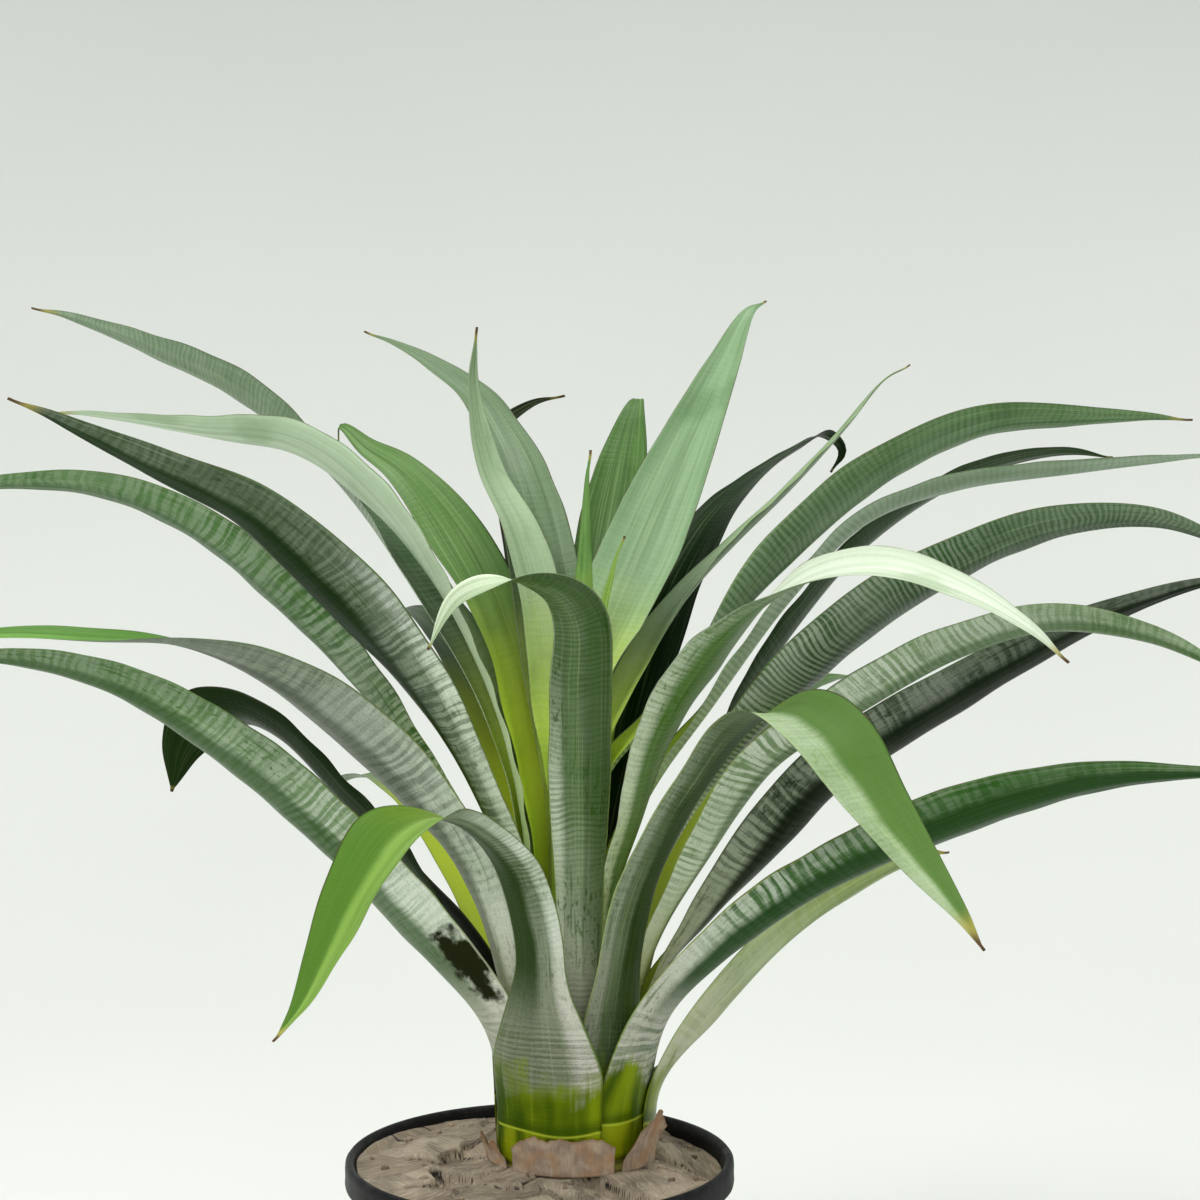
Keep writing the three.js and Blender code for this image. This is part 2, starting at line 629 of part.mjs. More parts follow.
const pottedAlcantarea = new THREE.Group();
pottedAlcantarea.add(piece("pot", potGeometry(), BLACK_PLASTIC));
pottedAlcantarea.add(piece("potting_soil", soilGeometry(), SOIL_BROWN));

const plant = new THREE.Group();
plant.position.set(PLANT_X, PLANT_Y, SOIL_LEVEL);
plant.add(piece("stem", stemGeometry(), STEM_GREEN));
LEAVES.forEach((leaf) => {
  const material = leaf.name.startsWith("leaf_heart") ? HEART_GREEN : LEAF_GREEN;
  plant.add(piece(leaf.name, leafGeometry(leaf), material));
});
DRY_SHEATHS.forEach((sheath) => plant.add(piece(sheath.name, dryGeometry(sheath), DRY_BROWN)));
pottedAlcantarea.add(plant);

export default pottedAlcantarea;
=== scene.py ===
"""Looks of a young alcantarea, a large bromeliad, growing in a plain round nursery pot.

Every visible piece is built in mesh code where its CAD solid lies, in metres, +Z up, with the
origin at the centre of the pot's flat base. Tables are in millimetres and degrees. A colour of
three numbers is 8-bit sRGB, and one of four is linear.
"""

import math
import random

import bmesh
import bpy
import numpy as np
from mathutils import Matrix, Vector


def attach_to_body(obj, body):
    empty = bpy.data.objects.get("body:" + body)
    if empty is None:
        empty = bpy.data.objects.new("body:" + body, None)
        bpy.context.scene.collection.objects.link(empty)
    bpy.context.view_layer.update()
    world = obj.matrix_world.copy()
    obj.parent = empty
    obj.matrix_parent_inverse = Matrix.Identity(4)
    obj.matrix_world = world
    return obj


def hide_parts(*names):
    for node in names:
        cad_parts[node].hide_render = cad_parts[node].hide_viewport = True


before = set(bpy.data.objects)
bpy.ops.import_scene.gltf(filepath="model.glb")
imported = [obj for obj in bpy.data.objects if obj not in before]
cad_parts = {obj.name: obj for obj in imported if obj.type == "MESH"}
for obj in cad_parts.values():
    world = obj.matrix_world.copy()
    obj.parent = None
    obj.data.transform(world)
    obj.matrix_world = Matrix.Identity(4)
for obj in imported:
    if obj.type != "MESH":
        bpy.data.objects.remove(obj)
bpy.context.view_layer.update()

MM = 0.001
SEED = 20
TURN = 2 * math.pi

# ---------------------------------------------------------------- the plant's own dimensions, mm
POT_HEIGHT = 180
POT_RIM_RADIUS = 100
POT_TOP_RADIUS = 96
POT_BASE_RADIUS = 74
POT_WALL = 2
POT_FLOOR = 2.5
POT_RIM_DEPTH = 14
BASE_CHAMFER = 1.5
DRAIN_COUNT = 6
DRAIN_WIDTH = 16
DRAIN_HEIGHT = 7

SOIL_EDGE_LEVEL = 171
SOIL_LEVEL = 178
PLANT_X = 17
PLANT_Y = 10
SEAT_GAP = 0.3
STEM_ROOT_RADIUS = 34
STEM_ROOT_DEPTH = 46

OUTER_WHORL_RADIUS = 42
OUTER_FOOT_HEIGHT = 3
STEM_SLOPE = 1.186
WHORL_RADII = (42, 39.2, 36.4, 33.6, 30.8, 28, 25.2, 22.4, 19.6, 17.4, 15.2, 12.8, 10.2, 6.6)
CLASP = 0.72
LEAF_THICKNESS = 1.8
TIP_THICKNESS = 0.7
MARGIN_THICKNESS = 0.4
TIP_WIDTH = 1.6

# where a leaf's form changes, in mm along it
TAPER_POWER = 1.5
TURN_REACH = 80  # a turned foot has come round to its blade's azimuth this far out
CLASP_END = 30
CHANNEL_START = 150
CAD_STATIONS = 19  # the foot of a leaf turns upright over the first of these
ROLL_RUN = 0.3  # of the length, over which a leaf rolls

CHANNEL = ((0, 45), (0.5, 38), (1, 22))
SOFT_CHANNEL = ((0, 45), (0.6, 30), (1, 15))


def rolled(middle, tip=None, start=0.2):
    """a roll that sets in at start, reaches its middle value and ends at the tip's"""
    return ((start, 0), (start + ROLL_RUN, middle), (1, middle if tip is None else tip))


# spine: (reach from the plant's axis, height above the soil, swing to the left), foot to tip.
# azimuth: of the blade. turn: how many degrees further round the stem the foot stands.
# sheath, waist, width: across the foot, above it and at the blade's middle.
# narrows, widens: where the sheath narrows (mm) and the blade widens (fraction of the length).
# taper: the fraction where the tip begins. roll, channel: (fraction of the length, degrees).
LEAVES = (
    dict(name="leaf_front_left_curled", whorl=0, azimuth=241, turn=8, sheath=66, waist=28, width=54,
         taper=0.62, channel=SOFT_CHANNEL, narrows=(42, 108), widens=(0.5, 0.68),
         roll=((0.55, 0), (0.8, 12)),
         spine=((43.6, 30), (47, 62), (47.6, 86), (52, 120, 1), (67, 158, -2), (97, 182, -1), (130, 193),
                (162, 190), (192, 172), (218, 146), (242, 124), (260, 118))),
    dict(name="leaf_right_lowest", whorl=0, azimuth=12, turn=-6, width=36, roll=rolled(-44, -44, 0.05),
         taper=0.72, spine=((44, 30), (57, 52), (84, 82), (122, 114), (150, 132), (177, 145), (203, 152))),
    dict(name="leaf_back_left_low", whorl=0, azimuth=125, width=38,
         spine=((46, 34), (64, 78), (100, 124), (146, 158), (196, 172), (240, 166), (272, 150))),
    dict(name="leaf_left_lowest", whorl=1, azimuth=196, turn=12, waist=38, width=44,
         roll=rolled(40, 34, 0.04),
         spine=((39.4, 50), (47.4, 76), (84, 124), (128, 172), (175, 214), (222, 246), (266, 262),
                (302, 265), (332, 260))),
    dict(name="leaf_right_low", whorl=1, azimuth=338, turn=-14, waist=38, width=46,
         roll=((0.1, 0), (0.4, -30), (0.7, -40), (1, -40)),
         spine=((41, 40), (52, 76), (82, 111), (122, 143), (170, 170), (222, 194), (270, 209), (317, 215),
                (345, 216))),
    dict(name="leaf_back_low", whorl=1, azimuth=86, width=38,
         spine=((40, 42), (58, 96), (94, 152), (144, 196), (200, 220), (254, 218), (296, 198))),
    dict(name="leaf_front_right_curled", whorl=2, azimuth=312, turn=-5, sheath=48, waist=29, width=52,
         taper=0.64, channel=SOFT_CHANNEL, narrows=(36, 100), widens=(0.48, 0.68),
         roll=((0.5, 0), (0.75, 14)),
         spine=((37.4, 50), (40, 88), (51, 132), (70, 169), (95, 204), (122, 232), (148, 243), (178, 232),
                (206, 206), (236, 180), (272, 151))),
    dict(name="leaf_left_drooping", whorl=2, azimuth=158, width=42, taper=0.84,
         roll=((0.2, 0), (0.5, 34), (0.8, 36), (1, 74)),
         spine=((36.4, 58), (56, 98), (96, 143), (135, 178), (172, 210), (198, 220), (218, 216), (232, 200),
                (238, 176))),
    dict(name="leaf_back_right_low", whorl=2, azimuth=50, width=38,
         spine=((37, 46), (54, 100), (92, 154), (140, 196), (196, 222), (250, 228), (290, 216))),
    dict(name="leaf_left_twisted", whorl=3, azimuth=208, turn=10, width=40, roll=rolled(36, -30),
         spine=((34, 60), (43, 100), (64, 156), (100, 206), (152, 249), (204, 272), (250, 278), (298, 282),
                (326, 278))),
    dict(name="leaf_right_dark", whorl=3, azimuth=356, turn=9, waist=38, width=42,
         roll=rolled(-50, -40, 0.11),
         spine=((34.4, 64), (49, 97), (68, 120), (94, 154), (130, 196), (170, 223), (219, 253), (267, 279),
                (316, 297), (345, 301))),
    dict(name="leaf_back_left_shaded", whorl=3, azimuth=118, width=40,
         spine=((34, 60), (48, 130), (76, 190), (118, 236), (168, 262), (220, 268), (264, 252))),
    dict(name="leaf_left_banded", whorl=4, azimuth=189, width=42, roll=rolled(34, 34, 0.32),
         spine=((31, 70), (42, 140), (72, 196), (107, 243), (143, 285), (190, 325), (236, 345), (296, 347),
                (330, 339))),
    dict(name="leaf_right_arching", whorl=4, azimuth=344, turn=6, waist=32, width=42,
         roll=((0.12, 0), (0.42, -24), (0.65, -30), (1, -50)),
         spine=((31, 64), (42, 108), (68, 156), (100, 204), (140, 233), (193, 265), (241, 281), (289, 276),
                (336, 255))),
    dict(name="leaf_back_hooked", whorl=4, azimuth=107, width=26,
         spine=((30, 90), (38, 180), (62, 250), (94, 300), (124, 334), (150, 360), (162, 376, -6),
                (167, 388, -24), (170, 394, -46))),
    dict(name="leaf_left_broad", whorl=5, azimuth=209, width=40, roll=rolled(42, 42, 0.34),
         spine=((28, 80), (33, 140), (55, 193), (90, 251), (128, 296), (174, 336), (222, 359), (265, 379),
                (290, 391))),
    dict(name="leaf_right_shaded", whorl=5, azimuth=26, waist=26, width=42, roll=rolled(-34),
         spine=((28, 80), (48, 150), (84, 205), (128, 264), (178, 313), (242, 348), (295, 360), (338, 360))),
    dict(name="leaf_right_striped", whorl=6, azimuth=352, turn=3, waist=26, width=44,
         roll=((0.26, 0), (0.54, -40), (1, -40)), widens=(0.25, 0.45),
         spine=((26, 80), (42, 142), (76, 200), (109, 240), (149, 277), (196, 307), (242, 326), (290, 330),
                (342, 312))),
    dict(name="leaf_left_highest", whorl=6, azimuth=152, width=42, roll=rolled(50, 56, 0.45),
         spine=((25, 90), (32, 180), (54, 237), (98, 298), (148, 350), (207, 394), (268, 419), (327, 438),
                (350, 444))),
    dict(name="leaf_front_folded", whorl=6, azimuth=261, turn=18, sheath=31, waist=24, width=34,
         channel=SOFT_CHANNEL,
         spine=((26, 80), (26.8, 140), (28, 200), (34, 244), (48, 280), (64, 297, -8), (76, 302, -28),
                (84, 295, -46), (90, 270, -58))),
    dict(name="leaf_front_right_broad", whorl=7, azimuth=324, turn=10, waist=23, width=40,
         channel=SOFT_CHANNEL, roll=((0.2, 0), (0.5, -12), (0.72, 26), (1, 30)),
         spine=((21.8, 90), (24, 138), (37, 178), (50, 216), (78, 256), (116, 290), (150, 307), (184, 311),
                (220, 303), (252, 289), (277, 273))),
    dict(name="leaf_back_right_dark", whorl=7, azimuth=56, waist=28, width=38, roll=rolled(-20, -20, 0.5),
         spine=((23, 90), (31, 140), (46, 185), (70, 236), (100, 284), (140, 322), (190, 348), (232, 362),
                (264, 370), (286, 360), (272, 346))),
    dict(name="leaf_left_pale", whorl=7, azimuth=168, width=40, roll=rolled(42, 20, 0.4),
         spine=((21.5, 90), (25.5, 170), (40, 232), (66, 284), (103, 333), (147, 366), (203, 374),
                (255, 381), (290, 385))),
    dict(name="leaf_right_grey", whorl=8, azimuth=4, turn=7, waist=24, width=34,
         roll=((0.2, 0), (0.5, -14), (1, -34)),
         spine=((19, 110), (22, 150), (42, 190), (72, 232), (113, 288), (152, 327), (200, 345), (255, 353),
                (310, 359), (345, 363))),
    dict(name="leaf_left_wavy", whorl=8, azimuth=146, waist=26, width=44,
         roll=((0.4, 0), (0.58, -5), (0.78, -36), (1, -40)),
         spine=((19.2, 100), (20.4, 160), (28.4, 203), (44, 262), (72, 312), (108, 350), (134, 364),
                (154, 376), (158, 366))),
    dict(name="leaf_back_rounded", whorl=9, azimuth=77, waist=18, width=40, taper=0.72,
         spine=((16.6, 110), (16.8, 168), (25.8, 206), (58, 266), (94, 320), (128, 364), (156, 390),
                (172, 392))),
    dict(name="leaf_right_highest", whorl=10, azimuth=14, waist=20, width=44,
         roll=((0.3, 0), (0.6, -44), (1, -40)),
         spine=((13.8, 110), (12.8, 170), (19.2, 199), (55, 235), (99, 291), (142, 332), (186, 361),
                (230, 377), (290, 380), (344, 381))),
    dict(name="leaf_back_left_broad", whorl=10, azimuth=112, waist=24, width=42,
         spine=((14.6, 100), (15.6, 180), (33, 256), (51, 308), (80, 346), (112, 372), (134, 392, 6),
                (156, 411, 25), (184, 431, 54))),
    dict(name="leaf_back_left_narrow", whorl=11, azimuth=127, waist=18, width=28, roll=rolled(-6),
         spine=((11.6, 120), (11.8, 180), (21.6, 238), (31, 288), (48, 322), (74, 352), (86, 380),
                (90, 405), (84, 428))),
    dict(name="leaf_right_edge_on", whorl=11, azimuth=38, waist=18, width=28, roll=rolled(-24, -24, 0.4),
         spine=((11.2, 110), (10.2, 178), (18.4, 212), (36, 241), (63, 274), (82, 292), (108, 312),
                (150, 342), (192, 376), (218, 400), (238, 412))),
    dict(name="leaf_upright_tall", whorl=12, azimuth=54, waist=21, width=46, roll=rolled(24, 24, 0.35),
         spine=((8.6, 120), (8.2, 190), (12, 228), (28.6, 266), (60, 306), (90, 346), (118, 382),
                (142, 412), (164, 438), (184, 448))),
    dict(name="leaf_heart_spike", whorl=13, azimuth=56, sheath=14, waist=14, width=20, taper=0.5,
         spine=((5, 120), (6, 220), (11, 292), (14, 364))),
    dict(name="leaf_heart_young", whorl=13, azimuth=320, sheath=14, waist=14, width=18, taper=0.5,
         spine=((6, 120), (8, 200), (16, 262), (32, 322))),
)
LEAF_DEFAULTS = dict(
    sheath=56, waist=30, width=42, roll=((0, 0),), channel=CHANNEL, taper=0.58, turn=0,
    narrows=(8, 80), widens=(0.22, 0.52))

# ---------------------------------------------------------------- looks of each leaf
# under, upper: the green of the two faces. scurf: how much silver powder lies on the underside
# and on the upper face. bands: how strongly it forms crossbands, pitch mm apart. comb: how evenly
# they are spaced. fade: where along the leaf the powder thins, and to what share of itself.
# speckle: worn dark flecks. rim: more silver towards one margin of the underside, partly real powder
# and partly painted light on the flank that faces the light. flank: painted shade on the flank that
# faces away from the light, the powder taken off and the green deepened from fold to one margin; the
# sign of rim and flank says which. shade: painted shade, how far the whole leaf's colour is darkened
# for the shade it stands in within the rosette. tip: mm of dry tip. glow: a paler lime on the inner
# face low down, brightened as painted light for the light that shines through the leaves. shine:
# specular level.
LOOK_DEFAULTS = dict(
    under=(88, 122, 64), upper=(80, 124, 44), scurf=(0.7, 0.2), bands=0.6, pitch=4, comb=0.12,
    fade=(0.2, 0.8, 0.4), speckle=0.3, rim=0, flank=0, fold=-0.08, shade=1, tip=8, glow=0.85,
    shine=0.12)
LOOKS = dict(
    leaf_front_left_curled=dict(
        under=(66, 88, 36), upper=(122, 158, 70), scurf=(0.42, 0.12), bands=0.5, pitch=2.8, rim=0.9,
        flank=-1, fold=-0.22, shine=0.05, glow=0.25),
    leaf_right_lowest=dict(
        under=(142, 160, 78), scurf=(0.62, 0.2), bands=0.35, pitch=6, speckle=0.35, flank=0.5, tip=6),
    leaf_back_left_low=dict(shade=0.8),
    leaf_left_lowest=dict(
        under=(70, 112, 44), upper=(96, 146, 66), scurf=(0.9, 0.35), bands=0.55, pitch=4.5,
        speckle=0.5, flank=-0.85, fold=-0.35, shine=0.07),
    leaf_right_low=dict(
        under=(44, 90, 26), scurf=(0.8, 0.25), bands=0.8, pitch=5.5, fade=(0.15, 0.75, 0.25),
        speckle=0.5, flank=1, fold=-0.6, shine=0.05),
    leaf_back_low=dict(shade=0.8),
    # partly painted light: the upper face's powder kept on the droop, to pale it as a painted sheen
    leaf_front_right_curled=dict(
        under=(60, 82, 34), upper=(132, 164, 92), scurf=(0.2, 0.55), bands=0.35, pitch=3,
        fade=(0.2, 0.9, 0.8), rim=-0.4, flank=1, fold=-0.3, tip=16, shine=0.06),
    # painted shade: both greens made very dark for the deep shade this leaf stands in
    leaf_left_drooping=dict(
        under=(36, 64, 16), upper=(16, 26, 10), scurf=(0.08, 0.05), shade=0.5, tip=3, glow=0, shine=0.04),
    leaf_back_right_low=dict(shade=0.8),
    leaf_left_twisted=dict(
        under=(84, 92, 80), upper=(104, 156, 58), scurf=(0.75, 0.3), bands=0.4, pitch=6, rim=0.7,
        flank=-0.7, fold=-0.2),
    # painted shade: a very dark underside green and a shade below 1 for the deep shade it stands in
    leaf_right_dark=dict(
        under=(28, 48, 20), upper=(80, 120, 48), scurf=(0.85, 0.3), pitch=5, speckle=0.5, flank=1,
        fold=-0.45, shade=0.72, shine=0.04),
    # painted shade: dark greens and a shade below 1 for the shade this leaf stands in
    leaf_back_left_shaded=dict(
        under=(40, 78, 10), upper=(36, 70, 8), scurf=(0.15, 0.08), shade=0.6, shine=0.1),
    leaf_left_banded=dict(
        under=(78, 122, 58), scurf=(0.85, 0.25), bands=0.85, pitch=5, speckle=0.4, flank=-0.7),
    leaf_right_arching=dict(
        under=(82, 122, 50), upper=(98, 140, 66), scurf=(0.9, 0.3), bands=0.65, pitch=3.8, comb=0.15,
        fade=(0.4, 0.9, 0.5), speckle=0.25, flank=0.7, fold=-0.3, shine=0.07),
    # painted shade: dark greens and a shade below 1 for the shade this leaf stands in
    leaf_back_hooked=dict(
        under=(64, 76, 44), upper=(52, 62, 34), scurf=(0.15, 0.1), shade=0.6, tip=9, shine=0.1),
    leaf_left_broad=dict(
        under=(46, 72, 38), scurf=(0.66, 0.25), bands=0.5, pitch=4.5, speckle=0.35, rim=0.95,
        flank=-1, fold=-0.1, tip=14, shine=0.06),
    # painted shade: dark greens and a shade below 1 for the shade this leaf stands in
    leaf_right_shaded=dict(
        under=(40, 72, 26), upper=(42, 76, 28), scurf=(0.2, 0.12), shade=0.7, tip=4, shine=0.08),
    leaf_right_striped=dict(
        under=(34, 80, 22), scurf=(0.8, 0.25), bands=0.75, pitch=2.9, comb=0.28, speckle=0.2, flank=0.6),
    leaf_left_highest=dict(
        under=(88, 120, 82), upper=(74, 110, 64), scurf=(0.9, 0.25), bands=0.5, pitch=3.2, comb=0.2,
        fade=(0.42, 0.66, 0.4), speckle=0.15, tip=16),
    # painted light: the upper face made near white for the light on its hook
    leaf_front_folded=dict(
        under=(58, 92, 26), upper=(208, 222, 194), scurf=(0.62, 0.7), bands=0.4, pitch=2.8, comb=0.22,
        fade=(0.15, 0.5, 0.4), speckle=0.5, rim=-0.7, flank=0.5, tip=3, shine=0.07),
    # painted light: the upper face made near white for the light on its droop
    leaf_front_right_broad=dict(
        under=(74, 114, 38), upper=(206, 218, 198), scurf=(0.3, 0.8), bands=0.4, pitch=3, speckle=0.5,
        rim=-0.95, tip=10),
    # painted shade: very dark greens and a shade below 1 for the deep shade this leaf stands in
    leaf_back_right_dark=dict(
        under=(26, 54, 16), upper=(28, 58, 18), scurf=(0.05, 0.03), shade=0.55, tip=3, glow=0,
        shine=0.04),
    # painted light: the underside's green made very pale for the light that falls on it
    leaf_left_pale=dict(
        under=(214, 234, 206), upper=(108, 152, 84), scurf=(0.85, 0.5), bands=0.3, speckle=0.05, tip=18),
    leaf_right_grey=dict(
        under=(146, 168, 144), upper=(84, 122, 58), scurf=(0.8, 0.25), pitch=3.4, comb=0.4, speckle=0.1,
        flank=0.3),
    leaf_left_wavy=dict(
        under=(108, 148, 88), upper=(94, 130, 68), scurf=(0.5, 0.2), bands=0.2, tip=6, glow=1),
    leaf_back_rounded=dict(
        under=(74, 112, 52), upper=(84, 122, 60), scurf=(0.3, 0.12), shade=0.85, tip=4),
    leaf_right_highest=dict(
        under=(80, 122, 62), scurf=(0.62, 0.25), bands=0.5, pitch=3.6, comb=0.3, speckle=0.2,
        flank=0.45, tip=12),
    leaf_back_left_broad=dict(
        under=(98, 124, 88), upper=(106, 132, 96), scurf=(0.4, 0.3), bands=0.4, speckle=0.1,
        shade=0.85, tip=7),
    leaf_back_left_narrow=dict(
        under=(132, 168, 116), upper=(146, 168, 134), scurf=(0.45, 0.4), bands=0.3, speckle=0.1),
    leaf_right_edge_on=dict(
        under=(118, 146, 100), upper=(140, 164, 124), scurf=(0.5, 0.3), bands=0.3, speckle=0.1, tip=6),
    leaf_upright_tall=dict(
        under=(128, 162, 122), upper=(126, 158, 118), scurf=(0.45, 0.35), bands=0.35, pitch=3.4,
        speckle=0.1, rim=-0.35, tip=4),
    leaf_heart_spike=dict(
        under=(100, 140, 90), upper=(108, 150, 78), scurf=(0.45, 0.25), bands=0.7, pitch=3, speckle=0,
        tip=5),
    leaf_heart_young=dict(
        under=(168, 202, 100), upper=(160, 196, 84), scurf=(0.15, 0.1), bands=0.3, speckle=0, tip=3),
)


# ---------------------------------------------------------------- small helpers
def smooth(low, high, x):
    """smoothstep, on numbers or arrays"""
    t = np.clip((x - low) / (high - low), 0, 1)
    return t * t * (3 - 2 * t)


def lerp(a, b, t):
    return a + (b - a) * t


def at_station(stations, x):
    """smooth value at x between stations ((x, value), ...)"""
    for (x0, v0), (x1, v1) in zip(stations, stations[1:]):
        if x <= x1:
            return lerp(v0, v1, smooth(x0, x1, x))
    return stations[-1][1]


def sign(value):
    return -1.0 if value < 0 else 1.0


def linear(colour):
    """an 8-bit sRGB colour as linear RGBA; any other value is left as it is"""
    if not isinstance(colour, tuple) or len(colour) != 3:
        return colour
    shares = [value / 255 for value in colour]
    return (*(c / 12.92 if c <= 0.04045 else ((c + 0.055) / 1.055) ** 2.4 for c in shares), 1.0)


def waves(rng, count, shortest, longest):
    """a few seeded sine waves: [(wavelength, phase, strength), ...]"""
    found = []
    for _ in range(count):
        length = rng.uniform(shortest, longest)
        found.append((length, rng.uniform(0, TURN), rng.uniform(0.5, 1)))
    return found


def sum_of(found, x):
    total = sum(strength for _, _, strength in found)
    return sum(k * np.sin(TURN * x / length + phase) for length, phase, k in found) / total


# ---------------------------------------------------------------- making meshes
def add_to_scene(name, data):
    made = bpy.data.objects.new(name, data)
    bpy.context.scene.collection.objects.link(made)
    return made


def mesh_object(name, points, faces, material, uvs=None):
    """a smooth-shaded mesh object; points in millimetres, one uv for each point"""
    mesh = bpy.data.meshes.new(name)
    mesh.from_pydata((np.asarray(points) * MM).tolist(), [], faces)
    for layer_name, values in (uvs or {}).items():
        layer = mesh.uv_layers.new(name=layer_name)
        corners = np.zeros(len(mesh.loops), np.int32)
        mesh.loops.foreach_get("vertex_index", corners)
        layer.data.foreach_set("uv", np.asarray(values, np.float32)[corners].ravel())
    mesh.shade_smooth()
    mesh.update()
    mesh.materials.append(material)
    return add_to_scene(name, mesh)


def attach(made, node):
    """a piece that rides on the part's only body and stands for a CAD node"""
    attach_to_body(made, "root")
    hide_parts(node)


def weld(made, distance=1e-6):
    """merges doubled points and turns the faces outwards"""
    work = bmesh.new()
    work.from_mesh(made.data)
    bmesh.ops.remove_doubles(work, verts=work.verts, dist=distance)
    bmesh.ops.recalc_face_normals(work, faces=work.faces)
    work.to_mesh(made.data)
    work.free()


def apply_modifiers(made):
    graph = bpy.context.evaluated_depsgraph_get()
    mesh = bpy.data.meshes.new_from_object(made.evaluated_get(graph))
    made.modifiers.clear()
    made.data = mesh


def round_angles(count):
    return np.arange(count) * TURN / count


def circle(radius, angles, height, x=0, y=0):
    """points round an upright axis; radius and height may change with the angle"""
    columns = (x + radius * np.cos(angles), y + radius * np.sin(angles), height)
    return np.column_stack(np.broadcast_arrays(*columns))


def ring_faces(rings, size, first=0):
    """quads between closed rings of points"""
    faces = []
    for i in range(rings - 1):
        for k in range(size):
            a = first + i * size + k
            b = first + i * size + (k + 1) % size
            faces.append((a, b, b + size, a + size))
    return faces


def end_cap(first, size, forwards, shared=True):
    """quads across one end ring, upper row to lower row; the rows may share their end points"""
    faces = []
    shift = 0 if shared else 1
    for k in range(size // 2 - shift):
        loop = [k, k + 1, (size - k - 1 - shift) % size, (size - k - shift) % size]
        loop = [first + n for n in dict.fromkeys(loop)]
        faces.append(tuple(loop[::-1] if forwards else loop))
    return faces


# ---------------------------------------------------------------- node trees
class Wire:
    """a value inside a node tree; arithmetic on it adds the nodes that work it out"""

    def __init__(self, shader, socket):
        self.shader = shader
        self.socket = socket

    def __add__(self, other):
        return self.shader.math("ADD", self, other)

    def __sub__(self, other):
        return self.shader.math("SUBTRACT", self, other)

    def __rsub__(self, other):
        return self.shader.math("SUBTRACT", other, self)

    def __mul__(self, other):
        return self.shader.math("MULTIPLY", self, other)

    def __truediv__(self, other):
        return self.shader.math("DIVIDE", self, other)


class Shader:
    """builds one material's node tree"""

    def __init__(self, name):
        self.material = bpy.data.materials.new(name)
        self.material.use_nodes = True
        self.tree = self.material.node_tree
        self.bsdf = self.tree.nodes["Principled BSDF"]

    def put(self, socket, value):
        if isinstance(value, Wire):
            self.tree.links.new(value.socket, socket)
        elif value is not None:
            socket.default_value = value

    def node(self, kind, inputs=(), output=0, **settings):
        """adds a node; inputs are pairs of a socket's name or number and its value"""
        made = self.tree.nodes.new(kind)
        for key, value in settings.items():
            setattr(made, key, value)
        for key, value in dict(inputs).items():
            self.put(made.inputs[key], value)
        return Wire(self, made.outputs[output])

    def math(self, operation, *values):
        return self.node("ShaderNodeMath", enumerate(values), operation=operation)

    def ramp(self, value, low, high, start=0.0, end=1.0):
        """smooth step of a value from start to end; low may be the greater"""
        inputs = enumerate((value, low, high, start, end))
        return self.node("ShaderNodeMapRange", inputs, interpolation_type="SMOOTHSTEP")

    def mix(self, factor, a, b, blend="MIX"):
        inputs = {0: factor, 6: linear(a), 7: linear(b)}
        return self.node("ShaderNodeMix", inputs, 2, data_type="RGBA", blend_type=blend)

    def layers(self, colour, *layers):
        """lays (value, low, high, strength, colour) over a colour, each as its value goes to high"""
        for value, low, high, strength, over in layers:
            colour = self.mix(self.ramp(value, low, high, 0.0, strength), colour, over)
        return colour

    def mix_number(self, factor, a, b):
        return self.node("ShaderNodeMix", {0: factor, 2: a, 3: b}, data_type="FLOAT")

    def vector(self, x, y, z):
        return self.node("ShaderNodeCombineXYZ", enumerate((x, y, z)))

    def split(self, vector):
        first = self.node("ShaderNodeSeparateXYZ", {0: vector})
        return [Wire(self, socket) for socket in first.socket.node.outputs]

    def uv(self, name):
        return self.split(self.node("ShaderNodeUVMap", uv_map=name))[:2]

    def place(self):
        return self.node("ShaderNodeTexCoord", output="Object")

    def noise(self, place, scale=1.0, detail=2.0, roughness=0.5):
        if isinstance(place, tuple):
            place = self.vector(*place)
        inputs = dict(Vector=place, Scale=scale, Detail=detail, Roughness=roughness)
        return self.node("ShaderNodeTexNoise", inputs)

    def bump(self, height, distance, strength=1.0, normal=None):
        inputs = dict(Strength=strength, Distance=distance, Height=height, Normal=normal)
        return self.node("ShaderNodeBump", inputs)

    def finish(self, colour, roughness, normal=None, shine=None):
        inputs = {"Base Color": colour, "Roughness": roughness, "Normal": normal}
        inputs["Specular IOR Level"] = shine
        for key, value in inputs.items():
            self.put(self.bsdf.inputs[key], value)
        return self.material


# ---------------------------------------------------------------- leaf shape
LEAF_ROWS = 150
LEAF_COLUMNS = 20
SPAN_SAMPLES = 40
LEAST_REACH = 4
WAVE_START = 70  # mm along; the blade waves from here on
WAVE_FULL = 170
MARGIN_WAVE = 1.1
MARGIN_WAVELENGTHS = (26, 80)
WIDTH_WAVE = 0.02  # of the width
WIDTH_WAVELENGTHS = (40, 130)
PLEAT_DEPTH = 0.16
PLEAT_COUNT = 8
TIP_DROP = 2.5  # mm that a dry tip curls down
LEAF_MAP = "leaf"  # across -1..1, metres along
FACE_MAP = "leaf_face"  # 0 upper or 1 underside, fraction of the length


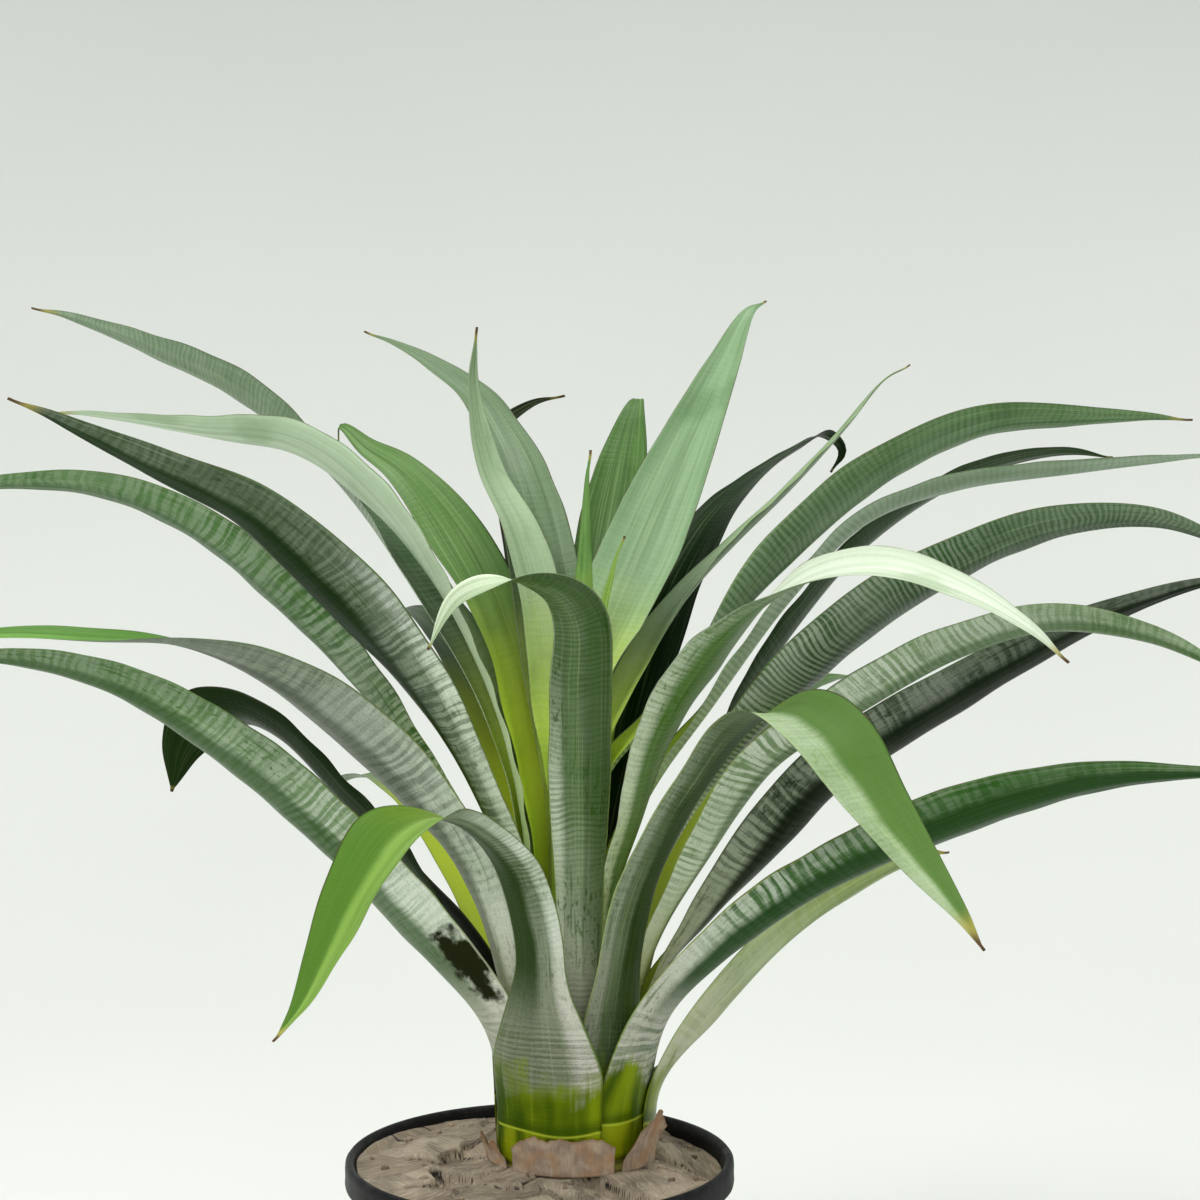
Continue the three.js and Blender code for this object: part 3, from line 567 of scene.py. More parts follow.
def catmull_rom(knots, count):
    """points at even steps along a centripetal Catmull-Rom curve, and its length"""
    knots = np.asarray(knots, float)
    ends = np.vstack([2 * knots[0] - knots[1], knots, 2 * knots[-1] - knots[-2]])
    dense = []
    for p0, p1, p2, p3 in zip(ends, ends[1:], ends[2:], ends[3:]):
        t1 = math.sqrt(np.linalg.norm(p1 - p0))
        t2 = t1 + math.sqrt(np.linalg.norm(p2 - p1))
        t3 = t2 + math.sqrt(np.linalg.norm(p3 - p2))
        t = np.linspace(t1, t2, SPAN_SAMPLES, endpoint=False)[:, None]
        a1 = (t1 - t) / t1 * p0 + t / t1 * p1
        a2 = (t2 - t) / (t2 - t1) * p1 + (t - t1) / (t2 - t1) * p2
        a3 = (t3 - t) / (t3 - t2) * p2 + (t - t2) / (t3 - t2) * p3
        b1 = (t2 - t) / t2 * a1 + t / t2 * a2
        b2 = (t3 - t) / (t3 - t1) * a2 + (t - t1) / (t3 - t1) * a3
        dense.append((t2 - t) / (t2 - t1) * b1 + (t - t1) / (t2 - t1) * b2)
    dense = np.vstack(dense + [knots[-1:]])
    run = np.concatenate([[0], np.cumsum(np.linalg.norm(np.diff(dense, axis=0), axis=1))])
    steps = np.linspace(0, run[-1], count)
    return np.stack([np.interp(steps, run, dense[:, k]) for k in range(3)], -1), run[-1]


def outward_at(leaf, reach):
    """the level direction away from the stem, for the part of a leaf at this reach"""
    radius = WHORL_RADII[leaf["whorl"]]
    turned = leaf["turn"] * (1 - smooth(radius, radius + TURN_REACH, reach))
    azimuth = math.radians(leaf["azimuth"] + turned)
    return np.array([math.cos(azimuth), math.sin(azimuth), 0])


def leaf_spine(leaf):
    radius = WHORL_RADII[leaf["whorl"]]
    foot = (radius, OUTER_FOOT_HEIGHT + (OUTER_WHORL_RADIUS - radius) * STEM_SLOPE)
    knots = []
    for reach, height, *swing in (foot, *leaf["spine"]):
        outward = outward_at(leaf, reach)
        left = np.array([-outward[1], outward[0], 0])
        knots.append(outward * reach + left * sum(swing) + np.array([0, 0, height]))
    return catmull_rom(knots, LEAF_ROWS)


def leaf_width(leaf, share, length):
    clasping = lerp(leaf["sheath"], leaf["waist"], smooth(*leaf["narrows"], share * length))
    full = clasping + (leaf["width"] - leaf["waist"]) * smooth(*leaf["widens"], share)
    past = max(0, (share - leaf["taper"]) / (1 - leaf["taper"]))
    return max(TIP_WIDTH, full * (1 - past ** TAPER_POWER))


def section_axes(tangent, outward, roll):
    """the section's own axes: across the blade, and up out of its channel"""
    across = np.cross((0, 0, 1), outward)
    across = across - tangent * (across @ tangent)
    across /= np.linalg.norm(across)
    up = np.cross(tangent, across)
    cos, sin = math.cos(roll), math.sin(roll)
    return across * cos + up * sin, up * cos - across * sin


def leaf_tangents(points):
    """unit tangents, turning upright over the leaf's first few millimetres"""
    tangents = np.gradient(points, axis=0)
    tangents /= np.linalg.norm(tangents, axis=1)[:, None]
    foot_rows = (LEAF_ROWS - 1) / (CAD_STATIONS - 1)
    for i in range(int(foot_rows)):
        turned = lerp(np.array([0, 0, 1.0]), tangents[i], i / foot_rows)
        tangents[i] = turned / np.linalg.norm(turned)
    return tangents


def across_steps():
    """steps across a leaf, closer together near its margins"""
    even = np.linspace(-1, 1, LEAF_COLUMNS + 1)
    return 0.55 * even + 0.45 * np.sin(even * math.pi / 2)


def leaf_points(leaf, rng):
    """rows of closed rings: the upper face from margin to margin, then back underneath"""
    points, length = leaf_spine(leaf)
    tangents = leaf_tangents(points)
    steps = across_steps()
    u = np.concatenate([steps, steps[-2:0:-1]])
    side = np.concatenate([np.ones(len(steps)), -np.ones(len(steps) - 2)])
    margin_waves = [waves(rng, 3, *MARGIN_WAVELENGTHS) for _ in range(2)]
    width_waves = waves(rng, 3, *WIDTH_WAVELENGTHS)
    pleat_phase = rng.uniform(0, TURN)
    rows, leaf_uv, face_uv = [], [], []
    for i, centre in enumerate(points):
        share = i / (LEAF_ROWS - 1)
        along = share * length
        free = smooth(WAVE_START, WAVE_FULL, along)
        reach = math.hypot(centre[0], centre[1])
        width = leaf_width(leaf, share, length) * (1 + WIDTH_WAVE * free * sum_of(width_waves, along))
        clasped = max(LEAST_REACH, reach)
        width = min(width, 2 * CLASP * clasped)
        blade = smooth(CLASP_END, CHANNEL_START, along)
        half = lerp(width / (2 * clasped), math.radians(at_station(leaf["channel"], share)), blade)
        bend = width / (2 * half)
        thick = lerp(LEAF_THICKNESS, TIP_THICKNESS, share)
        offset = side * 0.5 * np.maximum(thick * (1 - u ** 2), MARGIN_THICKNESS * (1 - u ** 8))
        ripple = np.where(u < 0, *(sum_of(found, along) for found in margin_waves))
        rise = MARGIN_WAVE * free * (1 - share) ** 0.5 * np.abs(u) ** 3 * ripple
        rise += PLEAT_DEPTH * free * np.sin(PLEAT_COUNT * u + pleat_phase)
        rise -= TIP_DROP * smooth(0.94, 1, share) ** 2
        roll = math.radians(at_station(leaf["roll"], share))
        across, up = section_axes(tangents[i], outward_at(leaf, reach), roll)
        angle = u * half
        sideways = bend * np.sin(angle) - offset * np.sin(angle)
        upwards = bend * (1 - np.cos(angle)) + offset * np.cos(angle) + rise
        rows.append(centre + np.outer(sideways, across) + np.outer(upwards, up))
        leaf_uv.append(np.stack([u, np.full(len(u), along * MM)], -1))
        face_uv.append(np.stack([(1 - side) / 2, np.full(len(u), share)], -1))
    place = np.array([PLANT_X, PLANT_Y, SOIL_LEVEL])
    return np.vstack(rows) + place, np.vstack(leaf_uv), np.vstack(face_uv), length


def build_leaf(source, index):
    leaf = {**LEAF_DEFAULTS, **source}
    name = leaf["name"]
    rng = random.Random(SEED + index)
    points, leaf_uv, face_uv, length = leaf_points(leaf, rng)
    size = 2 * LEAF_COLUMNS
    faces = [face[::-1] for face in ring_faces(LEAF_ROWS, size)]
    faces += end_cap(0, size, False)
    faces += end_cap((LEAF_ROWS - 1) * size, size, True)
    material = leaf_material(name, {**LOOK_DEFAULTS, **LOOKS[name]}, length, rng.uniform(0, 50))
    maps = {LEAF_MAP: leaf_uv, FACE_MAP: face_uv}
    made = mesh_object(name + "_blade", points, faces, material, maps)
    attach(made, name)


# ---------------------------------------------------------------- leaf finish
HALF_WIDTH = 0.02  # metres; turns the across coordinate into a length for the textures
FACES_APART = 0.4  # texture depth between the two faces
SILVER = (222, 230, 216)
SILVER_SHADE = (176, 192, 162)
SILVER_WARM = (208, 202, 192)
# a deeper green, for the random darker streaks and patches and for the painted shade on the shaded flank
DEEPER = (0.32, 0.44, 0.26, 1)
PALE_STREAK = (190, 210, 158)
SHEATH_OLIVE = (126, 146, 10)
SHEATH_SHADE = (56, 80, 4)
SHEATH_BAND = (150, 160, 22)
SHEATH_LIME = (186, 200, 60)
# the inner bases' lime, made brighter as painted light for the light that shines through the leaves
INNER_LIME_AND_GLOW = (230, 254, 56)
MARGIN_BROWN = (116, 98, 76)
TIP_YELLOW = (170, 160, 84)
TIP_BROWN = (100, 78, 56)
PATCH_BROWN = (26, 30, 4)
PATCHES = dict(leaf_left_lowest=(0.102, 0.5, 0.022, 0.5))  # along m, across, half sizes


class LeafShader(Shader):
    """a leaf's material, with the maps and textures that its layers share"""

    def __init__(self, name, look, seed):
        super().__init__(name)
        self.look = look
        self.across, self.along = self.uv(LEAF_MAP)
        self.under, self.share = self.uv(FACE_MAP)
        self.x = self.across * HALF_WIDTH
        self.depth = self.under * FACES_APART + seed
        self.flat = self.vector(self.x, self.along, self.depth)
        self.streaks = self.texture(800, self.along * 12, 3)
        self.wide_streaks = self.texture(150, self.along * 6)
        self.broad = self.noise(self.flat, 24, 3)
        self.grain = self.noise(self.flat, 1500)

    def texture(self, scale_across, along, detail=2, shift=0):
        """noise on the leaf's own surface; its place along the leaf is given already scaled"""
        depth = self.depth + shift if shift else self.depth
        return self.noise((self.x * scale_across, along, depth), detail=detail)


def leaf_material(name, look, length, seed):
    s = LeafShader(name, look, seed)
    painted_flank_shade = leaf_painted_flank_shade(s)
    scurf, bars = leaf_scurf(s)
    # painted shade: the powder taken off on the flank that faces away from the light
    scurf = scurf * (1.0 - painted_flank_shade * 0.96)
    green = leaf_heart_lime_and_glow(s, leaf_green(s, painted_flank_shade))
    silver = s.layers(SILVER, (s.broad, 0.3, 0.7, 0.6, SILVER_SHADE),
                      (s.streaks, 0.45, 0.3, 0.35, SILVER_SHADE), (s.along, 0.16, 0.05, 0.85, SILVER_WARM))
    colour = s.mix(scurf, green, silver)
    if name in PATCHES:
        colour = leaf_patch(s, colour, *PATCHES[name])
    colour, bare = leaf_sheath(s, colour)
    colour = leaf_edges(s, colour, length * MM)
    # painted shade: the whole leaf's colour darkened by its shade value
    colour = s.mix(1.0, colour, (look["shade"],) * 3 + (1.0,), "MULTIPLY")
    rough = s.ramp(scurf, 0, 0.8, 0.34, 0.64) + (s.grain - 0.5) * 0.12
    rough = s.mix_number(bare, rough, 0.28)
    ribs = s.bump(s.streaks, 0.0006, 0.35)
    normal = s.bump(bars * 0.4 + s.grain * 0.4, 0.0003, 0.45, ribs)
    return s.finish(colour, rough, normal, look["shine"])


def leaf_painted_flank_shade(s):
    """painted shade on the flank from the fold to one margin, which faces away from the light: less powder
    and a deeper green there; it fades out low on the sheath
    """
    fold, flank = s.look["fold"], s.look["flank"]
    aside = s.across * sign(flank) + (s.broad - 0.5) * 0.4
    return s.ramp(aside, fold, fold + 0.36, 0.0, abs(flank)) * s.ramp(s.along, 0.062, 0.108, 0.2, 1.0)


def leaf_scurf(s):
    """how much silver powder lies at a point, and the crossbands it forms"""
    along, look = s.along, s.look
    pitch = look["pitch"] * MM
    step = 1.7 / pitch
    bent = along + (s.texture(45, along * 28, 1) - 0.5) * 0.007
    drift = s.texture(30, along * 45, 1, 4)
    wave = s.math("SINE", bent * (TURN / pitch) + drift * 7)
    fine = s.texture(50, bent * (2.3 * step), 1, 9)
    bars = s.texture(26, bent * step, 1) + wave * look["comb"] + (fine - 0.5) * 0.6
    blotch = s.texture(300, along * 200, 3)
    band = s.ramp(bars + (blotch - 0.5) * 0.3, 0.34, 0.64)

    under_scurf, upper_scurf = look["scurf"]
    thins, thinned, left = look["fade"]
    amount = s.mix_number(s.under, upper_scurf, under_scurf) * s.ramp(s.share, thins, thinned, 1.0, left)
    # partly painted light: more powder towards the rim margin of the underside, on the flank that faces the
    # light
    edge = s.ramp(s.across * sign(look["rim"]), 0.2, 0.75, 0.0, abs(look["rim"]))
    edge = edge * (s.under * s.ramp(s.share, 0.4, 0.85, 1.0, 0.0))
    amount = s.math("MAXIMUM", amount, edge)

    flecks = s.ramp(s.texture(420, along * 240, 4), 0.54, 0.68)
    rubbed = s.ramp(s.texture(300, along * 22, 3), 0.58, 0.68)
    worn = s.math("MAXIMUM", flecks, rubbed) * (s.ramp(s.broad, 0.42, 0.58) * look["speckle"])
    even = s.ramp(s.texture(20, along * 22), 0.35, 0.65, 0.5, 1.0)
    gaps = (1.0 - band) * (even * s.ramp(s.share, 0.35, 1.0, 1.0, 0.6) * look["bands"])
    blade_bands = s.ramp(along, 0.1, 0.17, 0.15, 1.0)
    foot_wrinkles = s.ramp(along, 0.066, 0.086, 0.8, 0.0)
    gaps = gaps * s.math("MAXIMUM", blade_bands, foot_wrinkles)
    scurf = amount * ((1.0 - gaps) * (1.0 - worn))
    return s.ramp(scurf * s.ramp(s.grain, 0.25, 0.6, 0.75, 1.0), 0, 1), band


def leaf_green(s, painted_flank_shade):
    base = s.mix(s.under, s.look["upper"], s.look["under"])
    deep = s.mix(1.0, base, DEEPER, "MULTIPLY")
    pale = s.mix(0.4, base, PALE_STREAK)
    colour = s.layers(base, (s.wide_streaks, 0.65, 0.35, 0.5, deep), (s.streaks, 0.5, 0.72, 0.42, pale),
                      (s.broad, 0.55, 0.7, 0.4, deep))
    # painted shade: the green deepened on the flank that faces away from the light
    return s.mix(painted_flank_shade * 0.85, colour, deep)


def leaf_heart_lime_and_glow(s, colour):
    """the paler lime of the inner faces low in the rosette, brightened as painted light for the light that
    shines through the leaves
    """
    low = s.ramp(s.along + s.broad * 0.05, 0.17, 0.3, s.look["glow"], 0.0)
    inside = (1.0 - s.under) * s.ramp(s.math("ABSOLUTE", s.across), 0.9, 1.0, 1.0, 0.2)
    return s.mix(low * inside, colour, INNER_LIME_AND_GLOW)


def leaf_patch(s, colour, middle, side, half_along, half_across):
    """a bare, dark brown-green scuff on the sheath"""
    aside = (s.across - side) / half_across
    up = (s.along - middle) / half_along
    ragged = s.noise(s.flat, 110, 4)
    inside = s.ramp(aside * aside + up * up + (ragged - 0.5) * 3.4, 0.6, 1.3, 1.0, 0.0)
    return s.mix(inside * s.under, colour, PATCH_BROWN)


def leaf_sheath(s, colour):
    """bare, glossy olive skin at the foot of the sheath, with a lime rim line low down"""
    ragged = s.texture(70, s.along * 50, 3)
    veins = s.texture(110, s.along * 16)
    reach = s.along + ((ragged - 0.5) * 0.05 + (s.streaks - 0.5) * 0.014)
    bare = s.ramp(reach, 0.036, 0.052, 1.0, 0.0)
    scar = s.along + (s.texture(30, 0.0, 0) - 0.5) * 0.012
    band = s.layers(SHEATH_BAND, (veins, 0.4, 0.65, 1.0, SHEATH_SHADE))
    skin = s.layers(SHEATH_OLIVE, (veins + s.broad * 0.6, 0.55, 1.0, 1.0, SHEATH_SHADE),
                    (s.streaks, 0.55, 0.85, 0.3, SHEATH_LIME), (scar, 0.0195, 0.0175, 0.8, band))
    shadow = s.ramp(scar, 0.019, 0.02) * s.ramp(scar, 0.0205, 0.027, 0.7, 0.0)
    line = s.ramp(scar, 0.0176, 0.0184) * s.ramp(scar, 0.0186, 0.0196, 0.8, 0.0)
    skin = s.mix(line, s.mix(shadow, skin, SHEATH_SHADE), SHEATH_LIME)
    return s.mix(bare, colour, skin), bare


def leaf_edges(s, colour, length):
    """the thin brown margin and the dry tip"""
    broken = s.ramp(s.texture(0, s.along * 90, 3), 0.38, 0.6, 0.05, 0.75)
    margin = s.ramp(s.math("ABSOLUTE", s.across), 0.965, 0.99) * broken * s.ramp(s.along, 0.07, 0.14)
    colour = s.mix(margin, colour, MARGIN_BROWN)
    tip = s.look["tip"] * MM
    past = s.along - length + (s.streaks - 0.5) * (tip * 0.8)
    return s.layers(colour, (past, -1.4 * tip, -0.6 * tip, 0.85, TIP_YELLOW),
                    (past, -0.7 * tip, -0.25 * tip, 1.0, TIP_BROWN))


# ---------------------------------------------------------------- pot
POT_FACETS = 180
POT_MAP = "pot"  # metres round the wall, metres up
RIM_WOBBLE = 0.55
RIM_LIFT = 0.4  # of the wobble
CUTTER_LENGTH = 14
CUTTER_ROUNDING = 2.2
POT_BLACK = (12, 12, 13)
POT_GREY = (20, 20, 22)
POT_SCUFF = (78, 78, 80)
POT_WORN_RIM = (64, 64, 66)
POT_DUST = (72, 70, 68)
POT_PROFILE = (  # (radius, height, how freely it wobbles)
    (0, 3.2, 0), (30, 3.2, 0), (60, 2.6, 0), (70, 1.2, 0), (72.6, 0.25, 0), (74, 0, 0), (75, 0.5, 0),
    (75.7, 1.8, 0), (76.6, 10, 0), (78.4, 24, 0.1), (81.1, 46, 0.2), (84.5, 74, 0.3), (88, 102, 0.4),
    (90.5, 122, 0.5), (91.6, 131, 0.5), (92.6, 132.4, 0.5), (93.1, 134.2, 0.5), (92.8, 136, 0.5),
    (92.5, 137.4, 0.5), (93.9, 148, 0.6), (95.4, 160, 0.7), (96, 165.6, 0.8), (96.9, 166.3, 0.9),
    (98.6, 166.1, 1), (99.7, 167, 1), (100, 168.6, 1), (99.8, 172, 1), (99.9, 176, 1), (99.7, 178.4, 1),
    (98.7, 179.7, 1), (97.4, 180, 1), (96.1, 179.6, 1), (95.2, 178.4, 1), (94.6, 175, 0.9),
    (94.2, 168, 0.8), (93.6, 160, 0.6), (90, 132, 0.4), (84, 86, 0.2), (78, 40, 0.1), (74.4, 10, 0),
    (73.4, 4.6, 0), (70, 4.2, 0), (0, 4.2, 0),
)


def closed_waves(found, angles):
    """seeded waves that meet themselves again after one round"""
    return sum(k * np.sin(round(TURN / length) * angles + phase) for length, phase, k in found) / len(found)


def pot_points(rng):
    """rings of the pot's wall, its rolled rim a little out of true"""
    around = waves(rng, 4, 1.2, 6.2)
    lift = waves(rng, 4, 0.9, 3.2)
    angles = round_angles(POT_FACETS)
    points, uv = [], []
    for radius, height, free in POT_PROFILE:
        r = radius + RIM_WOBBLE * free * closed_waves(around, angles)
        z = height + RIM_LIFT * RIM_WOBBLE * free * closed_waves(lift, angles)
        points.append(circle(r, angles, z))
        uv.append(np.stack([angles * radius * MM, np.full(POT_FACETS, height * MM)], -1))
    return np.vstack(points), np.vstack(uv)


def drain_cutter(index):
    """a rounded block that cuts one drain notch"""
    size = (CUTTER_LENGTH * MM, DRAIN_WIDTH * MM, 2 * DRAIN_HEIGHT * MM)
    made = bmesh.new()
    bmesh.ops.create_cube(made, size=1)
    bmesh.ops.scale(made, vec=size, verts=made.verts)
    lengthwise = [e for e in made.edges if abs(e.verts[0].co.x - e.verts[1].co.x) > 0.01]
    bmesh.ops.bevel(made, geom=lengthwise, offset=CUTTER_ROUNDING * MM, segments=4, affect="EDGES",
                    profile=0.5)
    bmesh.ops.translate(made, vec=(POT_BASE_RADIUS * MM, 0, 0), verts=made.verts)
    mesh = bpy.data.meshes.new("drain_cutter")
    made.to_mesh(mesh)
    made.free()
    cutter = add_to_scene("drain_cutter", mesh)
    cutter.rotation_euler.z = index * TURN / DRAIN_COUNT
    return cutter


def build_pot():
    points, uv = pot_points(random.Random(SEED + 100))
    faces = ring_faces(len(POT_PROFILE), POT_FACETS)
    made = mesh_object("pot_wall", points, faces, pot_material(), {POT_MAP: uv})
    weld(made)
    cutters = [drain_cutter(i) for i in range(DRAIN_COUNT)]
    for cutter in cutters:
        cut = made.modifiers.new("drain", "BOOLEAN")
        cut.operation = "DIFFERENCE"
        cut.object = cutter
    apply_modifiers(made)
    for cutter in cutters:
        bpy.data.objects.remove(cutter)
    attach(made, "pot")


def pot_material():
    s = Shader("pot_plastic")
    place = s.place()
    round_wall, height = s.uv(POT_MAP)
    skin = s.noise(place, 900, 3)
    broad = s.noise(place, 24, 4)
    drips = s.noise((round_wall * 130, height * 9, 0.0), detail=3)
    scratches = s.noise((round_wall * 40, height * 1300, 3.0))
    scuffs = s.ramp(scratches, 0.62, 0.7) * s.ramp(broad, 0.5, 0.62)
    dust = s.ramp(drips + broad * 0.5, 0.62, 0.9) * s.ramp(height, 0.0, 0.17, 0.9, 0.25)
    rim_wear = s.ramp(height, 0.1768, 0.1795) * s.ramp(s.noise(place, 130, 3), 0.42, 0.62)
    colour = s.layers(POT_BLACK, (broad, 0.35, 0.7, 1.0, POT_GREY))
    colour = s.mix(scuffs * 0.4, colour, POT_SCUFF)
    colour = s.mix(rim_wear * 0.25, colour, POT_WORN_RIM)
    colour = s.mix(dust * 0.1, colour, POT_DUST)
    rough = s.ramp(broad, 0.3, 0.7, 0.42, 0.58) + (dust * 0.3 + scuffs * 0.2)
    return s.finish(colour, rough, s.bump(skin + scratches * -0.6, 0.00015, 0.5), 0.16)


# ---------------------------------------------------------------- soil
SOIL_RINGS = 96
SOIL_FACETS = 460
SOIL_MAP = "soil"  # slab tone, how deep in a crack
SOIL_CROWN = 3.2  # no part of the mound stands higher than this above the soil level
SOIL_FOOT_RISE = 2  # the soil's foot stands this far off the pot's floor
SOIL_FOOT_GAP = 1.2  # and this far inside its wall
EDGE_BANK = 6.0  # the soil lies this much higher against one side of the wall
BANK_AZIMUTH = math.radians(200)
SLAB_COUNT = 30
SLAB_TILT = 0.12
SLAB_LIFT = (-1.4, 1.6)
SLAB_WANDER = 7
CRACK_WIDTH = 1.2
CRACK_DEPTH = 2.4
NOISE_TABLE = 64
OCTAVE_SHARE = 0.55


def value_noise(rng_seed, points, cell):
    """smooth seeded noise in the plane, about -1 to 1"""
    table = np.random.default_rng(rng_seed).uniform(-1, 1, (NOISE_TABLE, NOISE_TABLE))
    x, y = points[:, 0] / cell, points[:, 1] / cell
    xi, yi = np.floor(x).astype(int), np.floor(y).astype(int)
    fx, fy = x - xi, y - yi
    fx, fy = fx * fx * (3 - 2 * fx), fy * fy * (3 - 2 * fy)

    def at(i, j):
        return table[(xi + i) % NOISE_TABLE, (yi + j) % NOISE_TABLE]

    return lerp(lerp(at(0, 0), at(1, 0), fx), lerp(at(0, 1), at(1, 1), fx), fy)


def fractal(rng_seed, points, cell, octaves):
    total, strength, weight = 0, 1, 0
    for i in range(octaves):
        total = total + strength * value_noise(rng_seed + i, points, cell / 2 ** i)
        weight += strength
        strength *= OCTAVE_SHARE
    return total / weight


def pot_inside(height):
    """inner radius of the pot's wall"""
    share = (height - BASE_CHAMFER) / (POT_HEIGHT - POT_RIM_DEPTH - BASE_CHAMFER)
    return lerp(POT_BASE_RADIUS + BASE_CHAMFER, POT_TOP_RADIUS, share) - POT_WALL


def slabs(plane, rng_seed):
    """broken slabs of bark and peat: (height of each point, tone of its slab, nearness to a crack)"""
    rng = np.random.default_rng(rng_seed)
    reach = POT_RIM_RADIUS * np.sqrt(rng.uniform(0, 1, SLAB_COUNT))
    angle = rng.uniform(0, TURN, SLAB_COUNT)
    seeds = np.stack([reach * np.cos(angle), reach * np.sin(angle)], -1)
    tilt = rng.normal(0, SLAB_TILT, (SLAB_COUNT, 2))
    lift = rng.uniform(*SLAB_LIFT, SLAB_COUNT)
    tone = rng.uniform(0, 1, SLAB_COUNT)
    wander = np.stack([fractal(rng_seed + 5, plane, 18, 4), fractal(rng_seed + 9, plane, 18, 4)], -1)
    bent = plane + SLAB_WANDER * wander
    apart = np.linalg.norm(bent[:, None, :] - seeds[None, :, :], axis=2)
    order = np.argsort(apart, axis=1)[:, :2]
    rows = np.arange(len(plane))
    nearest = order[:, 0]
    edge = apart[rows, order[:, 1]] - apart[rows, nearest]
    gape = CRACK_WIDTH * np.clip(0.7 + 1.6 * fractal(rng_seed + 13, plane, 16, 2), 0.12, 1.6)
    inside = smooth(0, gape, edge)
    height = lift[nearest] + ((bent - seeds[nearest]) * tilt[nearest]).sum(1)
    return height * inside - CRACK_DEPTH * (1 - inside), tone[nearest], 1 - inside


def soil_top(angles, pit):
    """the uneven surface from the stem's pit out to the wall: points, slab tones, cracks"""
    inner = circle(pit, angles, 0, PLANT_X, PLANT_Y)[:, :2]
    outer = circle(pot_inside(SOIL_EDGE_LEVEL) - 2 * SEAT_GAP, angles, 0)[:, :2]
    shares = np.linspace(0, 1, SOIL_RINGS)
    plane = np.vstack([lerp(inner, outer, t) for t in shares])
    share = np.repeat(shares, SOIL_FACETS)
    height, tone, crack = slabs(plane, SEED)
    fibre = plane @ np.array([[0.9, 0.2], [0.25, 1.6]])
    rough = 1.3 * fractal(31, plane, 16, 3) + 0.45 * fractal(41, fibre, 3.4, 3)
    ease = smooth(0.0, 0.14, share) * (1 - smooth(0.93, 1, share))
    bank = SOIL_EDGE_LEVEL + EDGE_BANK * (1 + np.cos(np.tile(angles, SOIL_RINGS) - BANK_AZIMUTH)) / 2
    z = lerp(SOIL_LEVEL, bank, smooth(0.2, 1, share)) + ease * (height + rough) + 0.6 * (1 - ease) * rough
    return np.column_stack([plane, np.minimum(z, SOIL_LEVEL + SOIL_CROWN)]), tone, crack


def build_soil():
    """the mounded soil as one closed body down to the pot's floor; gives its top's points"""
    pit = STEM_ROOT_RADIUS + SEAT_GAP
    angles = round_angles(SOIL_FACETS)
    top, tone, crack = soil_top(angles, pit)
    foot_level = POT_FLOOR + SOIL_FOOT_RISE
    foot = circle(pot_inside(foot_level) - SOIL_FOOT_GAP, angles, foot_level)
    well = circle(pit, angles, SOIL_LEVEL - STEM_ROOT_DEPTH - SEAT_GAP, PLANT_X, PLANT_Y)
    none, full = np.zeros(SOIL_FACETS), np.ones(SOIL_FACETS)
    data = np.column_stack([np.concatenate([none, tone, none]), np.concatenate([full, crack, none])])
    faces = ring_faces(SOIL_RINGS + 2, SOIL_FACETS)
    faces.append(tuple(range(SOIL_FACETS))[::-1])
    last = (SOIL_RINGS + 1) * SOIL_FACETS
    faces.append(tuple(range(last, last + SOIL_FACETS)))
    made = mesh_object("soil_mound", np.vstack([well, top, foot]), faces, soil_material(), {SOIL_MAP: data})
    weld(made)
    attach(made, "potting_soil")
    return top


def soil_material():
    """fibres that run another way in each slab, folds, crumbs, cracks darkened as painted shade, and damp
    spots
    """
    s = Shader("potting_soil")
    place = s.place()
    tone, crack = s.uv(SOIL_MAP)
    x, y, z = s.split(place)
    lay = tone * 2.4
    cos, sin = s.math("COSINE", lay), s.math("SINE", lay)
    lengthwise = x * cos + y * sin
    sideways = y * cos - x * sin
    fibres = s.noise((lengthwise * 70, sideways * 900, z * 300), 1, 4, 0.6)
    folds = s.noise((lengthwise * 18, sideways * 70, z * 40))
    crumbs = s.noise(place, 520, 4, 0.65)
    wet = s.ramp(s.noise(place, 60, 3), 0.62, 0.68)
    colour = s.layers(
        s.mix(tone, (150, 134, 116), (184, 168, 148)),
        (folds, 0.5, 0.68, 0.75, (112, 98, 86)),
        (s.noise(place, 34, 3), 0.5, 0.68, 0.6, (96, 84, 74)),
        (fibres, 0.45, 0.72, 0.6, (212, 198, 176)),
        (fibres, 0.4, 0.26, 0.5, (92, 76, 64)),
        (crumbs, 0.62, 0.7, 0.3, (74, 60, 50)),
        # painted shade: the cracks darkened nearly to black for the shade in them
        (crack, 0.3, 0.95, 1.0, (34, 28, 24)))
    colour = s.mix(wet * 0.25, colour, (80, 66, 54))
    rough = s.ramp(wet, 0, 1, 0.86, 0.25) + (crumbs - 0.5) * 0.2
    lumps = s.bump(folds + crumbs * 0.25, 0.003, 0.5)
    return s.finish(colour, rough, s.bump(fibres, 0.0007, 0.5, lumps))


# ---------------------------------------------------------------- bark chips on the soil
CHIP_COUNT = 45
BIG_CHIP_SHARE = 0.12
CHIP_MAP = "chip"  # tone, metres along the chip
CHIP_SECTIONS = ((-0.5, 0.86), (-0.2, 1.0), (0.25, 0.97), (0.5, 0.8))  # (share of the thickness, size)
CHIP_FIRST_RING = 9
CHIP_END_RING = 90
CHIP_OUTER_REACH = 91  # from the pot's axis
CHIP_INNER_REACH = 47  # from the plant's axis
CHIP_LEAN = 0.16
CHIP_ROUNDING = 0.35


